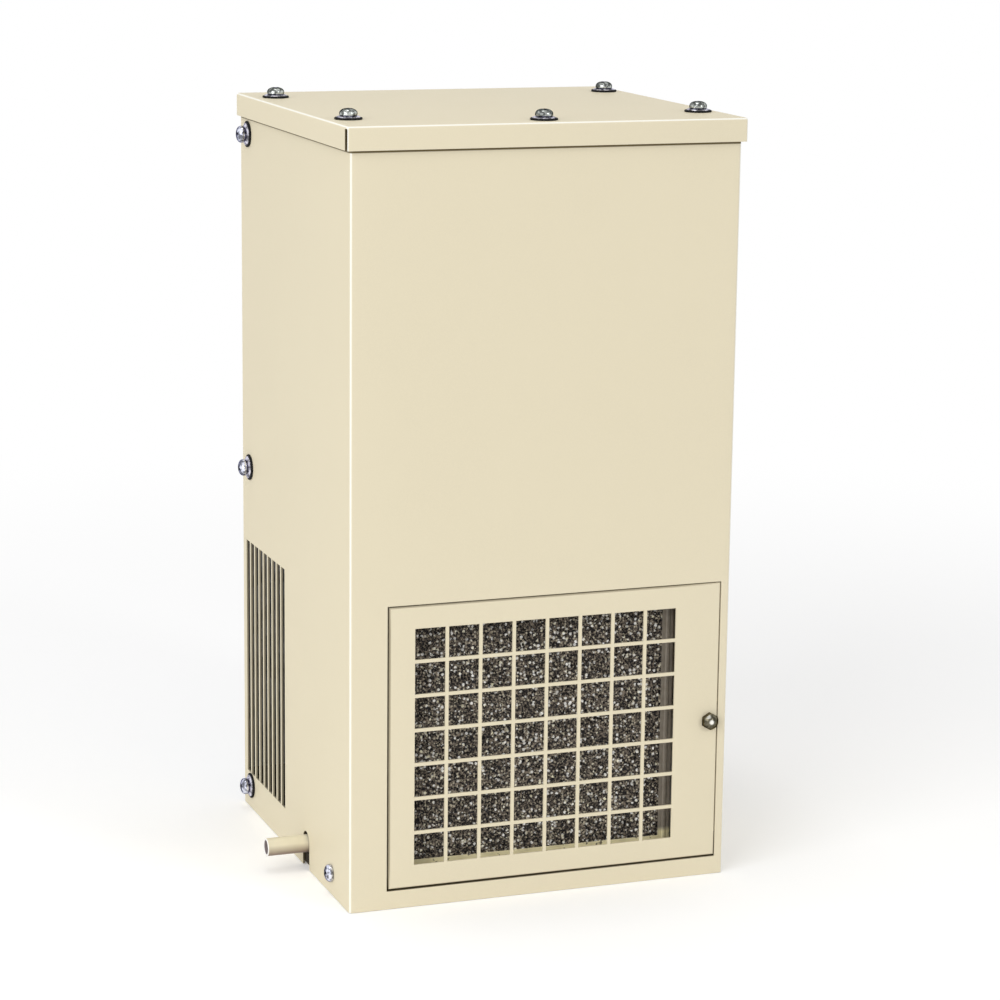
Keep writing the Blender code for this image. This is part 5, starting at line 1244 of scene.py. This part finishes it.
def build_knob():
    """A domed hexagon head on its stem, a point of the hexagon upwards."""
    height = FRONT - KNOB_LOW.y - KNOB_COLLAR
    turns = quarter_turn(KNOB_DOME_STEPS)
    dome = [(KNOB_DOME * math.sin(a), KNOB_COLLAR + height * math.cos(a)) for a in turns]
    bm = bmesh.new()
    add_turned(bm, [*dome, (0, KNOB_COLLAR)])
    head = mesh_object("latch_knob_head", bm, DARK_CHROME)
    bm = bmesh.new()
    top = KNOB_COLLAR + height + OVERSHOOT
    add_rod(bm, (0, 0, 0), (0, 0, top), KNOB_RADIUS, KNOB_SIDES)
    cut(head, mesh_object("knob_hexagon", bm), operation="INTERSECT")
    end = FRONT - KNOB_HIGH.y
    collar = KNOB_RADIUS * math.cos(math.pi / KNOB_SIDES)
    stem = [
        (0, KNOB_COLLAR),
        (collar, KNOB_COLLAR),
        (collar, HEAD_GROOVE),
        (KNOB_STEM, HEAD_GROOVE),
        (KNOB_STEM, end),
        (0, end),
    ]
    bm = bmesh.new()
    bm.from_mesh(take_mesh(head))
    add_turned(bm, stem)
    # Painted highlights on the crown and the upper left edge
    mark(bm, "painted_highlight", knob_painted_highlights)
    knob = mesh_object("latch_knob_dome", bm, DARK_CHROME)
    soften(knob, KNOB_EDGE, segments=3)
    place = middle(KNOB_LOW, KNOB_HIGH)
    place.y = FRONT
    aim(knob, place, (0, -1, 0))
    stand_for(knob, "latch", "zinc_steel", "latch_knob")


# Drain stub


def build_drain():
    """A plain tube with rounded ends."""
    length = DRAIN_HIGH.x - DRAIN_LOW.x
    outer = DRAIN_RADIUS
    inner = DRAIN_RADIUS - DRAIN_WALL
    rim = DRAIN_RIM
    profile = []
    for corner, start in (
        ((outer - rim, length - rim), 90),
        ((outer - rim, rim), 0),
        ((inner + rim, rim), -90),
        ((inner + rim, length - rim), -180),
    ):
        profile += arc(corner, rim, start, start - 90, DRAIN_RIM_STEPS)
    bm = bmesh.new()
    add_turned(bm, profile, closed=True, sides=2 * ROUND_SIDES)
    rim_start = length - rim
    # Painted shade inside the bore
    mark(bm, "bore_shade", lambda spot: spot.xy.length < inner + CUT_EDGE)
    # A painted highlight on the outer edge of the tube's end
    mark(bm, "rim", lambda spot: (spot.z - rim_start) / rim / DRAIN_RIM_HIGHLIGHT_FADE)
    # Painted shade on the tube's underside
    start, depth = DRAIN_UNDERSIDE_SHADE
    mark(bm, "stain_and_shade", lambda spot: depth * (start - spot.x / outer) * (spot.z < rim_start + WELD))
    drain = mesh_object("drain_stub", bm, FINISHES["ivory_plastic"])
    aim(drain, (DRAIN_HIGH.x, DRAIN_Y, DRAIN_Z), (-1, 0, 0))
    stand_for(drain, "cabinet", "ivory_plastic", "drain_tube")


# Back


def back_openings():
    """Cutters for the air openings, the bolt holes, the cable hole and the flanges' reliefs."""
    near = BACK_HIGH.y - BACK_SHEET - OVERSHOOT
    far = BACK_HIGH.y + OVERSHOOT
    supply = middle(*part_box("evaporator_fins"))
    wheel = middle(WHEEL_LOW, WHEEL_HIGH)
    grommet = middle(GROMMET_LOW, GROMMET_HIGH)
    half = Vector((SUPPLY_WIDTH, 0, SUPPLY_HEIGHT)) / 2
    bm = bmesh.new()
    add_box(bm, (-half.x, near, supply.z - half.z), (half.x, far, supply.z + half.z))
    holes = [
        (0, wheel.z, RETURN_RADIUS, 2 * ROUND_SIDES),
        (grommet.x, grommet.z, GROMMET_NECK, ROUND_SIDES),
    ]
    for x in (-MOUNT_HOLE_SPAN / 2, MOUNT_HOLE_SPAN / 2):
        holes += [(x, z, MOUNT_HOLE, ROUND_SIDES // 2) for z in MOUNT_HOLE_HEIGHTS]
    for x, z, radius, sides in holes:
        add_rod(bm, (x, near, z), (x, far, z), radius, sides)
    openings = mesh_object("back_openings", bm)
    bm = bmesh.new()
    wide = BACK_HIGH.x + OVERSHOOT
    behind = BACK_HIGH.y - BACK_SHEET - CUT_EDGE
    top = SLOT_TOP + RELIEF_ROOM
    add_box(bm, (-wide, BACK_LOW.y - OVERSHOOT, -OVERSHOOT), (wide, behind, top))
    return openings, mesh_object("back_relief", bm)


def build_back():
    """A plate with a flange down each side, which ends above the exhaust slots."""
    ways = ((0, 0, -1), (0, 0, 1), (0, -1, 0))
    bm = folded_box(BACK_LOW, BACK_HIGH, ways, BACK_BEND, BEND_STEPS)
    back = mesh_object("back_plate_sheet", bm, FINISHES["galvanised_steel"])
    cut(thicken(back, BACK_SHEET), *back_openings())
    soften(back, CUT_EDGE)
    stand_for(back, "cabinet", "galvanised_steel", "back_plate")


def rounded_loop(half_x, half_z, radius, centre_z):
    corners = ((1, 1, 0), (-1, 1, 90), (-1, -1, 180), (1, -1, 270))
    loop = []
    for side_x, side_z, start in corners:
        centre = (side_x * (half_x - radius), centre_z + side_z * (half_z - radius))
        loop += arc(centre, radius, start, start + 90, BEND_STEPS)
    return loop


def build_gasket():
    """A strip of soft rubber round both air openings, with rounded edges."""
    half = (GASKET_HIGH - GASKET_LOW) / 2
    centre = middle(GASKET_LOW, GASKET_HIGH)
    outer = rounded_loop(half.x, half.z, GASKET_CORNER, centre.z)
    inner = rounded_loop(half.x - GASKET_STRIP, half.z - GASKET_STRIP, GASKET_CORNER, centre.z)
    near = BACK_HIGH.y
    far = GASKET_HIGH.y
    bm = bmesh.new()
    loops = [
        [bm.verts.new((x, y, z)) for x, z in loop]
        for loop, y in ((outer, near), (outer, far), (inner, far), (inner, near))
    ]
    for loop, following in zip(loops, [*loops[1:], loops[0]]):
        join_loops(bm, following, loop)
    bmesh.ops.recalc_face_normals(bm, faces=bm.faces)
    gasket = mesh_object("rear_gasket_strip", bm, FINISHES["black_rubber"])
    soften(gasket, GASKET_EDGE, segments=4)
    stand_for(gasket, "cabinet", "black_rubber", "rear_gasket")


def build_grommet():
    """A grooved rubber ring with rounded lips."""
    centre = middle(GROMMET_LOW, GROMMET_HIGH)
    lip = (GROMMET_HIGH.z - GROMMET_LOW.z) / 2
    outside = GROMMET_HIGH.y - BACK_HIGH.y
    inside = GROMMET_LOW.y - BACK_HIGH.y
    profile = [
        (GROMMET_BORE, outside),
        (lip - GROMMET_ROUND, outside),
        (lip, outside - GROMMET_ROUND),
        (lip, 0),
        (GROMMET_NECK, 0),
        (GROMMET_NECK, -BACK_SHEET),
        (lip, -BACK_SHEET),
        (lip, inside + GROMMET_ROUND),
        (lip - GROMMET_ROUND, inside),
        (GROMMET_BORE, inside),
    ]
    bm = bmesh.new()
    add_turned(bm, profile, closed=True)
    grommet = mesh_object("cable_grommet_ring", bm, FINISHES["black_rubber"])
    aim(grommet, (centre.x, BACK_HIGH.y, centre.z), (0, 1, 0))
    soften(grommet, GROMMET_ROUND / 2, segments=3)
    stand_for(grommet, "cabinet", "black_rubber", "cable_grommet")


# Coils and blower wheel


def build_fins(node):
    """Many thin fins in place of a coil's plain pack."""
    low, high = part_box(node)
    count = int((high.x - low.x - FIN_SHEET) / FIN_PITCH)
    start = (low.x + high.x - count * FIN_PITCH) / 2
    bm = bmesh.new()
    for index in range(count + 1):
        x = start + index * FIN_PITCH
        add_box(bm, (x - FIN_SHEET / 2, low.y, low.z), (x + FIN_SHEET / 2, high.y, high.z))
    fins = mesh_object(f"{node}_stack", bm, FINISHES["aluminium"])
    stand_for(fins, "cabinet", "aluminium", node)


def add_blade(bm, start, root, tip, low, high):
    """A backward-curved blade between the wheel's back disc and its front ring."""
    lines = []
    for step in range(WHEEL_BLADE_STEPS + 1):
        along = step / WHEEL_BLADE_STEPS
        radius = root + (tip - root) * along
        angle = start - math.radians(WHEEL_BLADE_SWEEP) * along
        across = WHEEL_SHEET / 2 / radius
        line = []
        for side, height in ((-1, low), (1, low), (1, high), (-1, high)):
            turn = angle + side * across
            line.append(bm.verts.new((radius * math.cos(turn), radius * math.sin(turn), height)))
        lines.append(line)
    faces = [bm.faces.new(lines[0]), bm.faces.new(list(reversed(lines[-1])))]
    for first, second in zip(lines, lines[1:]):
        faces += join_loops(bm, second, first)
    bmesh.ops.recalc_face_normals(bm, faces=faces)


def build_wheel():
    """A back disc with its hub, a front ring round the eye, and curved blades between them."""
    radius = (WHEEL_HIGH.x - WHEEL_LOW.x) / 2
    width = WHEEL_HIGH.y - WHEEL_LOW.y
    sheet = WHEEL_SHEET
    disc = [
        (radius, sheet),
        (radius, 0),
        (WHEEL_BORE, 0),
        (WHEEL_BORE, WHEEL_HUB_LENGTH),
        (WHEEL_HUB - sheet, WHEEL_HUB_LENGTH),
        (WHEEL_HUB, WHEEL_HUB_LENGTH - sheet),
        (WHEEL_HUB, sheet),
    ]
    inner = width - sheet
    ring = [(radius, width), (radius, inner), (WHEEL_EYE, inner), (WHEEL_EYE, width)]
    bm = bmesh.new()
    for profile in (disc, ring):
        add_turned(bm, profile, closed=True, sides=2 * ROUND_SIDES)
    for index in range(WHEEL_BLADES):
        start = math.tau * index / WHEEL_BLADES
        add_blade(bm, start, WHEEL_EYE - 2 * sheet, radius - sheet, sheet / 2, width - sheet / 2)
    wheel = mesh_object("blower_wheel_moulding", bm, FINISHES["black_plastic"])
    centre = middle(WHEEL_LOW, WHEEL_HIGH)
    aim(wheel, (centre.x, WHEEL_LOW.y, centre.z), (0, 1, 0))
    soften(wheel, NODE_EDGE)
    stand_for(wheel, "blower", "black_plastic", "blower_wheel")


# Solid nodes that keep their shape


def dress_nodes():
    """Gives each solid that stays its finish, smooth round faces and soft edges."""
    finishes = {row["node"]: row["material_slot"] for row in frame["record"]["subparts"]}
    for name, node in frame["nodes"].items():
        if node.hide_render:
            continue
        mesh = node.data
        if "custom_normal" in mesh.attributes:
            mesh.attributes.remove(mesh.attributes["custom_normal"])
        mesh.shade_smooth()
        mesh.materials.clear()
        mesh.materials.append(PAN_PAINT if name == "base_pan" else FINISHES[finishes[name]])
        weld = node.modifiers.new("weld", "WELD")
        weld.merge_threshold = WELD
        soften(node, NODE_EDGE)


# Stage, light and camera


def strength_by_ray(tree, unseen, seen):
    """One strength for rays that the camera, a mirror or glass sends out, another for the rest."""
    path = add_node(tree, "LightPath", {})
    share = path.outputs["Is Camera Ray"]
    for kind in ("Is Glossy Ray", "Is Transmission Ray"):
        share = combine(tree, "MAXIMUM", share, path.outputs[kind])
    inputs = {"Value": share, "To Min": unseen, "To Max": seen}
    return add_node(tree, "MapRange", inputs).outputs["Result"]


def build_floor():
    """A pale floor that takes the shadow near the object and runs out into plain white."""
    material, tree, shader = new_material("floor", 0.9, specular=0.0)
    lift = strength_by_ray(tree, 0.0, FLOOR_LIFT)
    feed(tree, shader, {"Base Color": FLOOR_COLOUR, "Emission Color": (1, 1, 1)})
    feed(tree, shader, {"Emission Strength": lift})
    length = add_node(tree, "VectorMath", {0: own_place(tree)}, operation="LENGTH")
    near, far = FLOOR_FADE
    inputs = {"Value": length.outputs["Value"], "From Min": near, "From Max": far}
    fade = add_node(tree, "MapRange", inputs, interpolation_type="SMOOTHSTEP")
    white = strength_by_ray(tree, FLOOR_LIGHT, 1.0)
    glow = add_node(tree, "Emission", {"Strength": white})
    inputs = {0: fade.outputs["Result"], 1: shader.outputs["BSDF"], 2: glow.outputs["Emission"]}
    mix = add_node(tree, "MixShader", inputs)
    feed(tree, tree.nodes["Material Output"], {"Surface": mix.outputs["Shader"]})
    bm = bmesh.new()
    bmesh.ops.create_circle(bm, cap_ends=True, segments=FLOOR_SIDES, radius=FLOOR_SIZE)
    floor = mesh_object("floor", bm, material)
    floor.location.z = -FLOOR_DROP


def build_world():
    world = bpy.data.worlds.new("studio")
    world.use_nodes = True
    tree = world.node_tree
    strength = strength_by_ray(tree, WORLD_LIGHT, 1.0)
    feed(tree, tree.nodes["Background"], {"Color": (1, 1, 1), "Strength": strength})
    bpy.context.scene.world = world


def add_lamp(name, way, distance, size, level):
    """A square soft lamp that lights a facing surface to a level, where 1 is white on white."""
    data = bpy.data.lights.new(name, "AREA")
    data.size = size
    data.energy = level * math.pi**2 * distance**2
    lamp = add_object(name, data)
    way = way.normalized()
    lamp.location = middle(CAD_LOW, CAD_HIGH) + way * distance
    lamp.rotation_mode = "QUATERNION"
    lamp.rotation_quaternion = way.to_track_quat("Z", "Y")


def build_camera():
    turn = Matrix.Translation(CAMERA_PLACE)
    for degrees, axis in ((-CAMERA_AZIMUTH, "Z"), (90 - CAMERA_ELEVATION, "X"), (CAMERA_ROLL, "Z")):
        turn @= Matrix.Rotation(math.radians(degrees), 4, axis)
    data = bpy.data.cameras.new("camera")
    data.lens = CAMERA_LENS
    data.sensor_width = SENSOR_WIDTH
    camera = add_object("camera", data)
    camera.matrix_world = turn
    bpy.context.scene.camera = camera


def build_stage():
    build_floor()
    build_world()
    for name, settings in LAMPS.items():
        add_lamp(name, *settings)
    build_camera()
    bpy.context.scene.view_settings.view_transform = "Standard"


build_wrapper()
build_top_cover()
build_door()
build_foam()
build_channel()
build_screws()
build_knob()
build_drain()
build_back()
build_gasket()
build_grommet()
build_fins("condenser_fins")
build_fins("evaporator_fins")
build_wheel()
dress_nodes()
build_stage()
